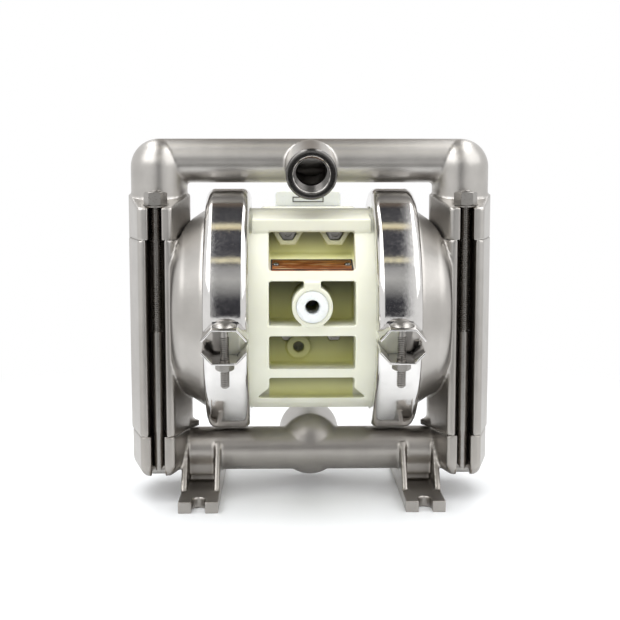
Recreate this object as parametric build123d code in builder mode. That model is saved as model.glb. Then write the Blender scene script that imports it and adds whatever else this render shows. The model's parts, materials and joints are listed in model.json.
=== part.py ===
"""Air operated double diaphragm pump with clamped stainless steel wetted parts.

The floor is Z = 0, the front is -Y and the diaphragm shaft runs along X.
All sizes are in millimetres.
"""

import os
from math import cos, radians, sin, sqrt, tan

from build123d import *

# Layout of the pump
clamp_spacing = 118.0
leg_offset = 51.0
inlet_tube_height = 32.0
inlet_joint_rise = 17.0
elbow_step = 2.0
band_to_inlet_tube = 1.5
band_to_discharge_tube = 4.2
discharge_leg_length = 55.6
running_clearance = 0.05
fit_clearance = 0.15
rim_gap = 0.1
part_gap = 0.3
blend = 1.0

# Cast legs, collars and bolt lugs
leg_radius = 20.5
chamber_leg_radius = 22.6
collar_radius = 22.4
inlet_collar_radius = 21.8
leg_bore_radius = 14.5
lug_half_width = 12.6
lug_reach = 40.0
lug_corner_radius = 3.0
channel_half_width = 6.2
lug_slot_half_width = 4.8
slot_floor = 23.0
flange_thickness = 4.5
flange_point = 27.5
casting_gap = 1.2
flange_half_depth = 22.0

# Discharge manifold
discharge_tube_radius = 15.9
discharge_tube_bore = 11.0
collar_height = 31.0
lug_slope_drop = 9.0
spot_face_radius = 8.0
spot_face_height = 22.5
outlet_radius = 18.0
outlet_reach = 51.0
outlet_tilt = 11.0
outlet_thread_radius = 12.3
outlet_thread_depth = 20.0
outlet_chamfer = 1.2
outlet_root_radius = 15.5
outlet_root_length = 16.0

# Inlet manifold and feet
inlet_tube_radius = 16.0
inlet_tube_bore = 11.5
inlet_collar_depth = 30.5
inlet_collar_fillet = 9.0
inlet_barrel_radius = 23.0
inlet_barrel_rise = 3.0
inlet_barrel_reach = 52.0
inlet_dome_length = 15.0
inlet_thread_radius = 15.0
inlet_thread_depth = 24.0
foot_spacing = 160.0
foot_width = 28.5
foot_length = 130.0
foot_thickness = 8.0
foot_slot_width = 9.5
foot_slot_depth = 14.2
gusset_thickness = 4.2
inner_gusset_offset = 11.8
outer_gusset_offset = 12.1
gusset_reach = 37.0
gusset_rise = 7.0
foot_web_thickness = 8.0
saddle_thickness = 27.0
saddle_drop = 17.5

# Liquid chamber bowls, set in from their rims and out to their legs
rim_radius = 82.5
rim_shoulder_drop = 6.5
rim_half_width = 14.0
rim_crown_half_width = 9.5
bowl_wall = 4.5
bowl_rim_drop = 9.5
bowl_side_drop = 18.5
bowl_side_inset = 21.0
bowl_end_drop = 32.5
bowl_end_inset = 11.0
bowl_corner_radius = 16.0
bowl_bore_radius = 12.0
bowl_neck = 4.0

# Ball valves
ball_radius = 11.5
ball_lift = 6.0
ball_rest_gap = 0.2
seat_radius = 15.6
seat_bore_radius = 9.0
seat_height = 8.0
seat_depth_below = 3.0
seat_ring_radius = 16.9
seat_ring_wire = 1.2
guide_rib_thickness = 3.0
guide_rib_clearance = 0.6
stop_rib_radius = 5.0
stop_rib_height = 4.0

# Centre section, with its levels counted from the shaft or in from its own radius
block_drop = 9.0
window_side_wall = 15.2
window_back = 33.0
brow_reach = 46.5
brow_height = 8.8
brow_depth = 26.0
rear_pad_side_wall = 7.0
rear_pad_reach = 58.0
rear_pad_drop = 39.5
rear_pad_height = 112.0
rear_pad_corner = 4.0
air_chamber_depth = 11.5
air_chamber_floor_radius = 42.0
air_chamber_mouth_drop = 15.5
window_1_inset = 15.0
window_1_level = 32.9
window_2_top_level = 26.1
window_2_bottom_level = -4.1
window_3_top_level = -11.3
window_3_bottom_level = -35.3
window_4_level = -42.2
window_4_inset = 14.2
window_fillet = 1.5
label_slope = 17.5
corner_chamfer = 9.0
air_inlet_level = 9.1
air_inlet_radius = 14.0
air_inlet_reach = 76.0
air_inlet_web = 5.7
bushing_radius = 10.9
bushing_length = 20.0
bushing_flange = 1.2
air_port_radius = 5.55
nut_boss_spacing = 33.0
nut_boss_flat = 18.0
nut_boss_reach = 43.0
nut_recess = 4.5
upper_screw_level = 58.2
lower_screw_level = -14.0
small_boss_x = -9.0
small_boss_level = -23.8
small_boss_radius = 8.7
small_boss_hole = 3.9
small_boss_length = 4.0
exhaust_level = -53.5
exhaust_radius = 14.0
exhaust_reach = 72.0
exhaust_thread_radius = 9.1
exhaust_depth = 28.0
exhaust_passage_level = -27.5
exhaust_passage_y = 50.0
air_passage_y = -24.0
air_passage_level = 44.5
air_passage_radius = 4.5

# Diaphragms, pistons and shaft
diaphragm_thickness = 3.0
diaphragm_drop = 4.5
diaphragm_offset = 4.5
bead_drop = 7.5
bead_wire = 2.0
convolution_height = 5.0
piston_radius = 38.0
piston_chamfer = 1.2
outer_piston_thickness = 8.0
inner_piston_thickness = 5.0
shaft_radius = 8.0
stud_radius = 6.0
stud_length = 13.0
disc_spring_thickness = 1.5
disc_spring_radius = 14.0
disc_spring_gap = 2.0
shaft_bushing_radius = 11.0
shaft_bushing_length = 12.0
shaft_bushing_inset = 4.0

# Pilot valve
pilot_y = 22.0
pilot_level = 27.5
pilot_sleeve_radius = 9.0
pilot_spool_radius = 4.9
pilot_sleeve_inset = 1.5
pilot_spool_reach = 3.7
pilot_groove_radius = 3.6
pilot_groove_half_width = 9.0

# Clamp bands
band_rise = 5.5
band_half_width = 17.0
band_crown_half_width = 9.0
band_thickness = 2.6
band_depth = 13.5
clamp_tilt = 7.4
clamp_gap = 3.9
clamp_lug_length = 20.0
clamp_lug_half_width = 15.0
clamp_lug_flat = 8.4
clamp_lug_height = 11.5
clamp_lug_sheet = 1.8
clamp_bolt_offset = 10.0
clamp_bolt_radius = 3.175
clamp_bolt_length = 43.0
clamp_head_radius = 8.0
clamp_head_height = 2.6
clamp_nut_flat = 11.1
clamp_nut_height = 5.6

# Long bolts through the legs
manifold_bolt_radius = 4.0
manifold_bolt_reach = 30.0
manifold_bolt_end = 34.0
tee_drop = 25.4
tee_radius = 3.5
tee_length = 15.0
tee_clearance = 0.3
washer_radius = 7.0
washer_thickness = 1.5
manifold_nut_flat = 12.7
manifold_nut_height = 7.0

# Air valve on the back
gasket_thickness = 1.0
muffler_plate_thickness = 8.0
air_valve_half_width = 25.7
air_valve_depth = 34.0
air_valve_drop = 24.5
air_valve_height = 109.5
air_valve_corner = 3.0
valve_bore_radius = 9.5
valve_bore_offset = 17.0
valve_spool_neck = 5.5
valve_spool_land = 9.0
valve_travel = 8.0
end_cap_radius = 12.5
end_cap_thickness = 6.0
end_cap_inset = 3.0
end_cap_ring_wire = 1.1
retaining_ring_thickness = 1.2
retaining_ring_width = 3.0
screw_radius = 3.175
screw_head_flat = 11.1
screw_head_height = 4.2
screw_hole_radius = 3.6
air_valve_nut_height = 5.4
air_valve_nut_clearance = 0.5

# Label plate
label_side_gap = 1.3
label_depth = 19.0
label_corner = 1.5
label_thickness = 0.8
label_screw_inset = 3.5
label_screw_radius = 1.6
label_screw_height = 1.0
label_setback = 10.0

# Places worked out from the sizes
clamp_x = clamp_spacing / 2
leg_x = clamp_x + leg_offset
leg_spacing = 2 * leg_x
half_diaphragm = diaphragm_thickness / 2
band_radius = rim_radius + band_rise
band_inner_radius = band_radius - band_depth
shaft_height = inlet_tube_height + inlet_tube_radius + band_to_inlet_tube + band_radius
inlet_joint_height = inlet_tube_height + inlet_joint_rise
discharge_tube_height = (
    shaft_height + band_radius + band_to_discharge_tube + discharge_tube_radius
)
discharge_joint_height = discharge_tube_height - discharge_leg_length
tee_height = inlet_joint_height - tee_drop
manifold_bolt_top = discharge_joint_height + manifold_bolt_end

rim_shoulder_radius = rim_radius - rim_shoulder_drop
bowl_rim_radius = rim_radius - bowl_rim_drop
bowl_side_radius = rim_radius - bowl_side_drop
bowl_end_radius = rim_radius - bowl_end_drop
bowl_side_x = leg_x - bowl_side_inset
bowl_end_x = leg_x - bowl_end_inset
diaphragm_radius = rim_radius - diaphragm_drop
bead_radius = rim_radius - bead_drop
air_chamber_mouth_radius = rim_radius - air_chamber_mouth_drop
air_chamber_floor = clamp_x - air_chamber_depth

block_radius = rim_radius - block_drop
block_half_width = clamp_x - rim_half_width
window_half_width = block_half_width - window_side_wall
window_1_top = shaft_height + block_radius - window_1_inset
window_1_bottom = shaft_height + window_1_level
window_2_top = shaft_height + window_2_top_level
window_2_bottom = shaft_height + window_2_bottom_level
window_3_top = shaft_height + window_3_top_level
window_3_bottom = shaft_height + window_3_bottom_level
window_4_top = shaft_height + window_4_level
window_4_bottom = shaft_height - block_radius + window_4_inset
air_inlet_height = shaft_height + air_inlet_level
upper_screw_height = shaft_height + upper_screw_level
lower_screw_height = shaft_height + lower_screw_level
small_boss_height = shaft_height + small_boss_level
exhaust_height = shaft_height + exhaust_level
exhaust_passage_height = shaft_height + exhaust_passage_level
air_passage_height = shaft_height + air_passage_level
rear_pad_half_width = block_half_width - rear_pad_side_wall
rear_pad_bottom = shaft_height - rear_pad_drop
rear_pad_top = rear_pad_bottom + rear_pad_height
air_valve_bottom = shaft_height - air_valve_drop
air_valve_top = air_valve_bottom + air_valve_height
label_width = 2 * (window_half_width - label_side_gap)
label_screw_spacing = label_width - 2 * label_screw_inset

pilot_height = shaft_height + pilot_level
pilot_sleeve_half_length = air_chamber_floor - pilot_sleeve_inset
pilot_spool_half_length = air_chamber_floor + pilot_spool_reach
clamp_lug_reach = band_radius + clamp_lug_length
clamp_bolt_reach = band_radius + clamp_bolt_offset
gasket_1_y = rear_pad_reach
plate_y = gasket_1_y + gasket_thickness
gasket_2_y = plate_y + muffler_plate_thickness
valve_y = gasket_2_y + gasket_thickness
valve_back = valve_y + air_valve_depth
valve_bore_y = valve_y + valve_bore_offset
inner_piston_x = clamp_x + diaphragm_offset - half_diaphragm - inner_piston_thickness
diaphragm_hub_x = inner_piston_x + inner_piston_thickness
outer_piston_x = diaphragm_hub_x + diaphragm_thickness
shoulder_x = inner_piston_x - disc_spring_thickness

shaft_plane = Plane(origin=(0, 0, shaft_height), x_dir=(1, 0, 0), z_dir=(0, -1, 0))
shaft_axis = Axis((0, 0, shaft_height), (1, 0, 0))
side_plane = Plane(origin=(0, 0, shaft_height), x_dir=(0, 1, 0), z_dir=(1, 0, 0))

os.makedirs("parts", exist_ok=True)


def save(builder, label):
    """Name a finished piece and write it."""
    builder.part.label = label
    export_step(builder.part, f"parts/{label}.step")


def save_pair(builder, name):
    """Write a piece made on the right, and its mirror image on the left."""
    save(builder, f"right_{name}")
    with BuildPart() as left:
        mirror(builder.part, about=Plane.YZ)
    save(left, f"left_{name}")


def front_plane(y):
    """A plane that faces the front at the given depth."""
    return Plane(origin=(0, y, 0), x_dir=(1, 0, 0), z_dir=(0, -1, 0))


def back_facing_plane(y):
    """A plane that faces the back at the given depth."""
    return Plane(origin=(0, y, 0), x_dir=(-1, 0, 0), z_dir=(0, 1, 0))


def leg_plan(radius):
    """Plan of a leg with an open bolt lug in front and another behind."""
    with BuildSketch(mode=Mode.PRIVATE) as circles:
        with Locations((leg_x, 0)):
            Circle(radius)
        inset = lug_half_width - lug_corner_radius
        with Locations((leg_x, 0)):
            with GridLocations(2 * inset, 2 * (lug_reach - lug_corner_radius), 2, 2):
                Circle(lug_corner_radius)
    make_hull(circles.sketch.edges())


def bolt_slots(half_width, bottom, height):
    """Slots for the long bolts, open to the front and to the back."""
    depth = lug_reach - slot_floor
    with BuildSketch(Plane.XY.offset(bottom)) as slots:
        with Locations((leg_x, slot_floor + depth), (leg_x, -slot_floor - depth)):
            Rectangle(2 * half_width, 2 * depth)
    extrude(slots.sketch, amount=height, mode=Mode.SUBTRACT)


def seat_pocket(joint_height):
    """Pocket for a valve seat and the groove of its ring, on both sides of a joint."""
    bottom = joint_height - seat_depth_below - fit_clearance
    with Locations(Location((leg_x, 0, bottom))):
        Cylinder(
            seat_radius + fit_clearance,
            seat_height + 2 * fit_clearance,
            align=(Align.CENTER, Align.CENTER, Align.MIN),
            mode=Mode.SUBTRACT,
        )
    with Locations(Location((leg_x, 0, joint_height))):
        Cylinder(
            seat_ring_radius + seat_ring_wire + fit_clearance,
            2 * (seat_ring_wire + fit_clearance),
            mode=Mode.SUBTRACT,
        )


def ball_guides(seat_top):
    """Four ribs that guide a ball, with longer ribs above them that stop it."""
    stop_bottom = seat_top + ball_centre_rise + ball_radius + ball_lift + part_gap
    guide_width = leg_bore_radius - ball_radius - guide_rib_clearance + blend
    stop_width = leg_bore_radius - stop_rib_radius + blend
    for width, bottom, top in (
        (guide_width, seat_top + blend, stop_bottom),
        (stop_width, stop_bottom, stop_bottom + stop_rib_height),
    ):
        with BuildSketch(Plane.XY.offset(bottom)) as ribs:
            with Locations((leg_x, 0)):
                with PolarLocations(leg_bore_radius + blend - width / 2, 4, 45):
                    Rectangle(width, guide_rib_thickness)
        extrude(ribs.sketch, amount=top - bottom)


ball_centre_rise = sqrt(ball_radius**2 - seat_bore_radius**2) + ball_rest_gap


# Liquid chambers: a bowl, and a vertical leg with open bolt channels
with BuildPart() as liquid_chamber:
    with BuildSketch(shaft_plane):
        with BuildLine():
            Polyline(
                (clamp_x + half_diaphragm, 0),
                (clamp_x + half_diaphragm, diaphragm_radius + blend),
                (clamp_x + rim_gap, diaphragm_radius + blend),
                (clamp_x + rim_gap, rim_radius),
                (clamp_x + rim_crown_half_width, rim_radius),
                (clamp_x + rim_half_width, rim_shoulder_radius),
                (clamp_x + rim_half_width, bowl_rim_radius),
                (clamp_x + rim_half_width + bowl_neck, bowl_rim_radius - blend),
                (bowl_side_x, bowl_side_radius),
            )
            RadiusArc(
                (bowl_side_x, bowl_side_radius),
                (bowl_end_x, bowl_end_radius),
                bowl_corner_radius,
            )
            Polyline(
                (bowl_end_x, bowl_end_radius),
                (bowl_end_x, 0),
                (clamp_x + half_diaphragm, 0),
            )
        make_face()
    revolve(axis=shaft_axis)
    for level, height in (
        (discharge_joint_height, 100),
        (inlet_joint_height, -100),
    ):
        with BuildSketch(Plane.XY.offset(level)):
            leg_plan(collar_radius)
            offset(amount=casting_gap)
            with Locations((leg_x + flange_point, 0)):
                Rectangle(2 * flange_point, 4 * collar_radius)
        extrude(amount=height, mode=Mode.SUBTRACT)
    with BuildSketch(Plane.XY.offset(inlet_joint_height)):
        leg_plan(chamber_leg_radius)
    extrude(amount=discharge_joint_height - inlet_joint_height)
    for bottom in (inlet_joint_height, discharge_joint_height - flange_thickness):
        with BuildSketch(Plane.XY.offset(bottom)):
            with BuildLine():
                Polyline(
                    (leg_x - flange_point, 0),
                    (leg_x - lug_half_width, -flange_half_depth),
                    (leg_x, -flange_half_depth),
                    (leg_x, flange_half_depth),
                    (leg_x - lug_half_width, flange_half_depth),
                    (leg_x - flange_point, 0),
                )
            make_face()
        extrude(amount=flange_thickness)
    with BuildSketch(shaft_plane):
        with BuildLine():
            Polyline(
                (clamp_x, 0),
                (clamp_x, air_chamber_mouth_radius),
                (clamp_x + rim_half_width, air_chamber_mouth_radius),
                (bowl_side_x - bowl_wall, bowl_side_radius - bowl_wall),
            )
            RadiusArc(
                (bowl_side_x - bowl_wall, bowl_side_radius - bowl_wall),
                (bowl_end_x - bowl_wall, bowl_end_radius - bowl_wall),
                bowl_corner_radius,
            )
            Polyline(
                (bowl_end_x - bowl_wall, bowl_end_radius - bowl_wall),
                (bowl_end_x - bowl_wall, 0),
                (clamp_x, 0),
            )
        make_face()
    revolve(axis=shaft_axis, mode=Mode.SUBTRACT)
    with BuildSketch(shaft_plane):
        with Locations((clamp_x + half_diaphragm, bead_radius)):
            Circle(bead_wire + fit_clearance)
    revolve(axis=shaft_axis, mode=Mode.SUBTRACT)
    with BuildSketch(Plane.XY.offset(inlet_joint_height)):
        with Locations((leg_x, 0)):
            Circle(leg_bore_radius)
    extrude(amount=discharge_joint_height - inlet_joint_height, mode=Mode.SUBTRACT)
    ball_guides(inlet_joint_height + seat_height - seat_depth_below)
    seat_pocket(inlet_joint_height)
    seat_pocket(discharge_joint_height)
    with BuildSketch(Plane.YZ.offset(bowl_end_x - 2 * bowl_wall)):
        with Locations((0, shaft_height)):
            Circle(bowl_bore_radius)
    extrude(amount=leg_x - bowl_end_x + 2 * bowl_wall, mode=Mode.SUBTRACT)
    bolt_slots(
        channel_half_width,
        inlet_joint_height,
        discharge_joint_height - inlet_joint_height,
    )
save_pair(liquid_chamber, "liquid_chamber")


# Discharge manifold: an arch of two domed elbows and a tube, with the outlet in front
elbow_height = discharge_tube_height + discharge_tube_radius - leg_radius
with BuildPart() as discharge_leg:
    with BuildSketch(Plane.XY.offset(discharge_joint_height)):
        leg_plan(collar_radius)
    extrude(amount=collar_height)
    slope_base = discharge_joint_height + collar_height
    with BuildSketch(Plane.YZ.offset(leg_x - 2 * collar_radius)):
        for way in (-1, 1):
            with BuildLine():
                Polyline(
                    (way * lug_slot_half_width, slope_base),
                    (way * 2 * lug_reach, slope_base - 2 * lug_slope_drop),
                    (way * 2 * lug_reach, slope_base + blend),
                    (way * lug_slot_half_width, slope_base + blend),
                    (way * lug_slot_half_width, slope_base),
                )
            make_face()
    extrude(amount=4 * collar_radius, mode=Mode.SUBTRACT)
    for way in (-1, 1):
        spot = (leg_x, way * manifold_bolt_reach, discharge_joint_height + spot_face_height)
        with Locations(Location(spot)):
            Cylinder(
                spot_face_radius,
                collar_height,
                align=(Align.CENTER, Align.CENTER, Align.MIN),
                mode=Mode.SUBTRACT,
            )
    with BuildSketch(Plane.XY.offset(discharge_joint_height)):
        with Locations((leg_x, 0)):
            Circle(leg_radius)
    extrude(amount=elbow_height - discharge_joint_height)
    with Locations(Location((leg_x, 0, elbow_height))):
        Sphere(leg_radius)
    with BuildSketch(Plane.YZ):
        with Locations((0, discharge_tube_height)):
            Circle(discharge_tube_radius)
    extrude(amount=leg_x)
    with BuildSketch(Plane.XY.offset(discharge_joint_height)):
        with Locations((leg_x, 0)):
            Circle(leg_bore_radius)
    extrude(amount=elbow_height - discharge_joint_height, mode=Mode.SUBTRACT)
    with Locations(Location((leg_x, 0, elbow_height))):
        Sphere(leg_bore_radius, mode=Mode.SUBTRACT)
    ball_guides(discharge_joint_height + seat_height - seat_depth_below)
    seat_pocket(discharge_joint_height)
    bolt_slots(lug_slot_half_width, discharge_joint_height, collar_height)

outlet_plane = Plane(
    origin=(0, 0, discharge_tube_height),
    x_dir=(1, 0, 0),
    z_dir=(0, -cos(radians(outlet_tilt)), -sin(radians(outlet_tilt))),
)
with BuildPart() as discharge_manifold:
    add(discharge_leg.part)
    mirror(discharge_leg.part, about=Plane.YZ)
    with BuildSketch(outlet_plane):
        Circle(outlet_root_radius)
    with BuildSketch(outlet_plane.offset(outlet_root_length)):
        Circle(outlet_radius)
    loft()
    with BuildSketch(outlet_plane.offset(outlet_root_length)):
        Circle(outlet_radius)
    extrude(amount=outlet_reach - outlet_root_length)
    chamfer(faces().sort_by(Axis.Y)[0].edges(), outlet_chamfer)
    with BuildSketch(Plane.YZ.offset(-leg_x)):
        with Locations((0, discharge_tube_height)):
            Circle(discharge_tube_bore)
    extrude(amount=leg_spacing, mode=Mode.SUBTRACT)
    with BuildSketch(outlet_plane):
        Circle(discharge_tube_bore)
    extrude(amount=outlet_reach, mode=Mode.SUBTRACT)
    with BuildSketch(outlet_plane.offset(outlet_reach)):
        Circle(outlet_thread_radius)
    extrude(amount=-outlet_thread_depth, mode=Mode.SUBTRACT)
save(discharge_manifold, "discharge_manifold")


# Inlet manifold: a tube with collars, feet and the inlet behind
with BuildPart() as inlet_leg:
    collar_bottom = inlet_joint_height - inlet_collar_depth
    with BuildSketch(Plane.XY.offset(collar_bottom)):
        leg_plan(inlet_collar_radius)
    extrude(amount=inlet_collar_depth)
    fillet(faces().sort_by(Axis.Z)[0].edges(), inlet_collar_fillet)
    with BuildSketch(Plane.YZ):
        with Locations((0, inlet_tube_height)):
            Circle(inlet_tube_radius)
    extrude(amount=leg_x)
    for way in (-1, 1):
        tee = Location((leg_x, way * manifold_bolt_reach, tee_height), (0, 90, 0))
        with Locations(tee):
            Cylinder(
                tee_radius + tee_clearance,
                tee_length + 2 * tee_clearance,
                mode=Mode.SUBTRACT,
            )
        with Locations(Location((leg_x, way * manifold_bolt_reach, tee_height))):
            Box(
                tee_length + 2 * tee_clearance,
                2 * (tee_radius + tee_clearance),
                inlet_collar_depth,
                align=(Align.CENTER, Align.CENTER, Align.MAX),
                mode=Mode.SUBTRACT,
            )
    bolt_slots(lug_slot_half_width, 0, inlet_joint_height)
    foot_x = foot_spacing / 2
    with BuildSketch():
        with Locations((foot_x, 0)):
            Rectangle(foot_width, foot_length)
        for way in (-1, 1):
            slot_centre = foot_length / 2 - foot_slot_depth + foot_slot_width / 2
            with Locations((foot_x, way * slot_centre)):
                Circle(foot_slot_width / 2, mode=Mode.SUBTRACT)
            with Locations((foot_x, way * (slot_centre + foot_slot_depth / 2))):
                Rectangle(foot_slot_width, foot_slot_depth, mode=Mode.SUBTRACT)
    extrude(amount=foot_thickness)
    gusset_top = inlet_tube_height + gusset_rise
    for offset_x in (-inner_gusset_offset, outer_gusset_offset):
        with BuildSketch(Plane.YZ.offset(foot_x + offset_x - gusset_thickness / 2)):
            with BuildLine():
                Polyline(
                    (-gusset_reach, 0),
                    (-gusset_reach, foot_thickness),
                    (-inlet_tube_radius + blend, gusset_top),
                    (inlet_tube_radius - blend, gusset_top),
                    (gusset_reach, foot_thickness),
                    (gusset_reach, 0),
                    (-gusset_reach, 0),
                )
            make_face()
        extrude(amount=gusset_thickness)
    for thickness, bottom in (
        (foot_web_thickness, 0),
        (saddle_thickness, inlet_tube_height - saddle_drop),
    ):
        with BuildSketch(Plane.XY.offset(bottom)):
            with Locations((foot_x, 0)):
                Rectangle(2 * inner_gusset_offset, thickness)
        extrude(amount=inlet_tube_height - bottom)
    with BuildSketch(Plane.XY.offset(inlet_tube_height)):
        with Locations((leg_x, 0)):
            Circle(leg_bore_radius - elbow_step)
    extrude(amount=inlet_joint_height, mode=Mode.SUBTRACT)
    with Locations(Location((leg_x, 0, inlet_tube_height))):
        Sphere(leg_bore_radius - elbow_step, mode=Mode.SUBTRACT)
    seat_pocket(inlet_joint_height)

inlet_barrel_height = inlet_tube_height + inlet_barrel_rise
with BuildPart() as inlet_manifold:
    add(inlet_leg.part)
    mirror(inlet_leg.part, about=Plane.YZ)
    barrel_plane = Plane(
        origin=(0, 0, inlet_barrel_height), x_dir=(1, 0, 0), z_dir=(0, 0, 1)
    )
    with BuildSketch(barrel_plane):
        Ellipse(inlet_barrel_radius, inlet_dome_length)
        with Locations((0, inlet_barrel_reach / 2)):
            Rectangle(2 * inlet_barrel_radius, inlet_barrel_reach)
        with Locations((inlet_barrel_radius, 0)):
            Rectangle(2 * inlet_barrel_radius, 4 * inlet_barrel_reach, mode=Mode.INTERSECT)
    revolve(axis=Axis((0, 0, inlet_barrel_height), (0, 1, 0)))
    with BuildSketch(Plane.YZ.offset(-leg_x)):
        with Locations((0, inlet_tube_height)):
            Circle(inlet_tube_bore)
    extrude(amount=leg_spacing, mode=Mode.SUBTRACT)
    with BuildSketch(Plane.XZ):
        with Locations((0, inlet_barrel_height)):
            Circle(inlet_tube_bore)
    extrude(amount=-inlet_barrel_reach, mode=Mode.SUBTRACT)
    with BuildSketch(Plane.XZ.offset(-inlet_barrel_reach)):
        with Locations((0, inlet_barrel_height)):
            Circle(inlet_thread_radius)
    extrude(amount=inlet_thread_depth, mode=Mode.SUBTRACT)
save(inlet_manifold, "inlet_manifold")


# Screws of the air valve: their level, the face in front of their nuts, and the nuts' depth
nut_places = (
    (upper_screw_height, nut_boss_reach, nut_recess),
    (lower_screw_height, window_back, air_valve_nut_clearance),
)

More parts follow.
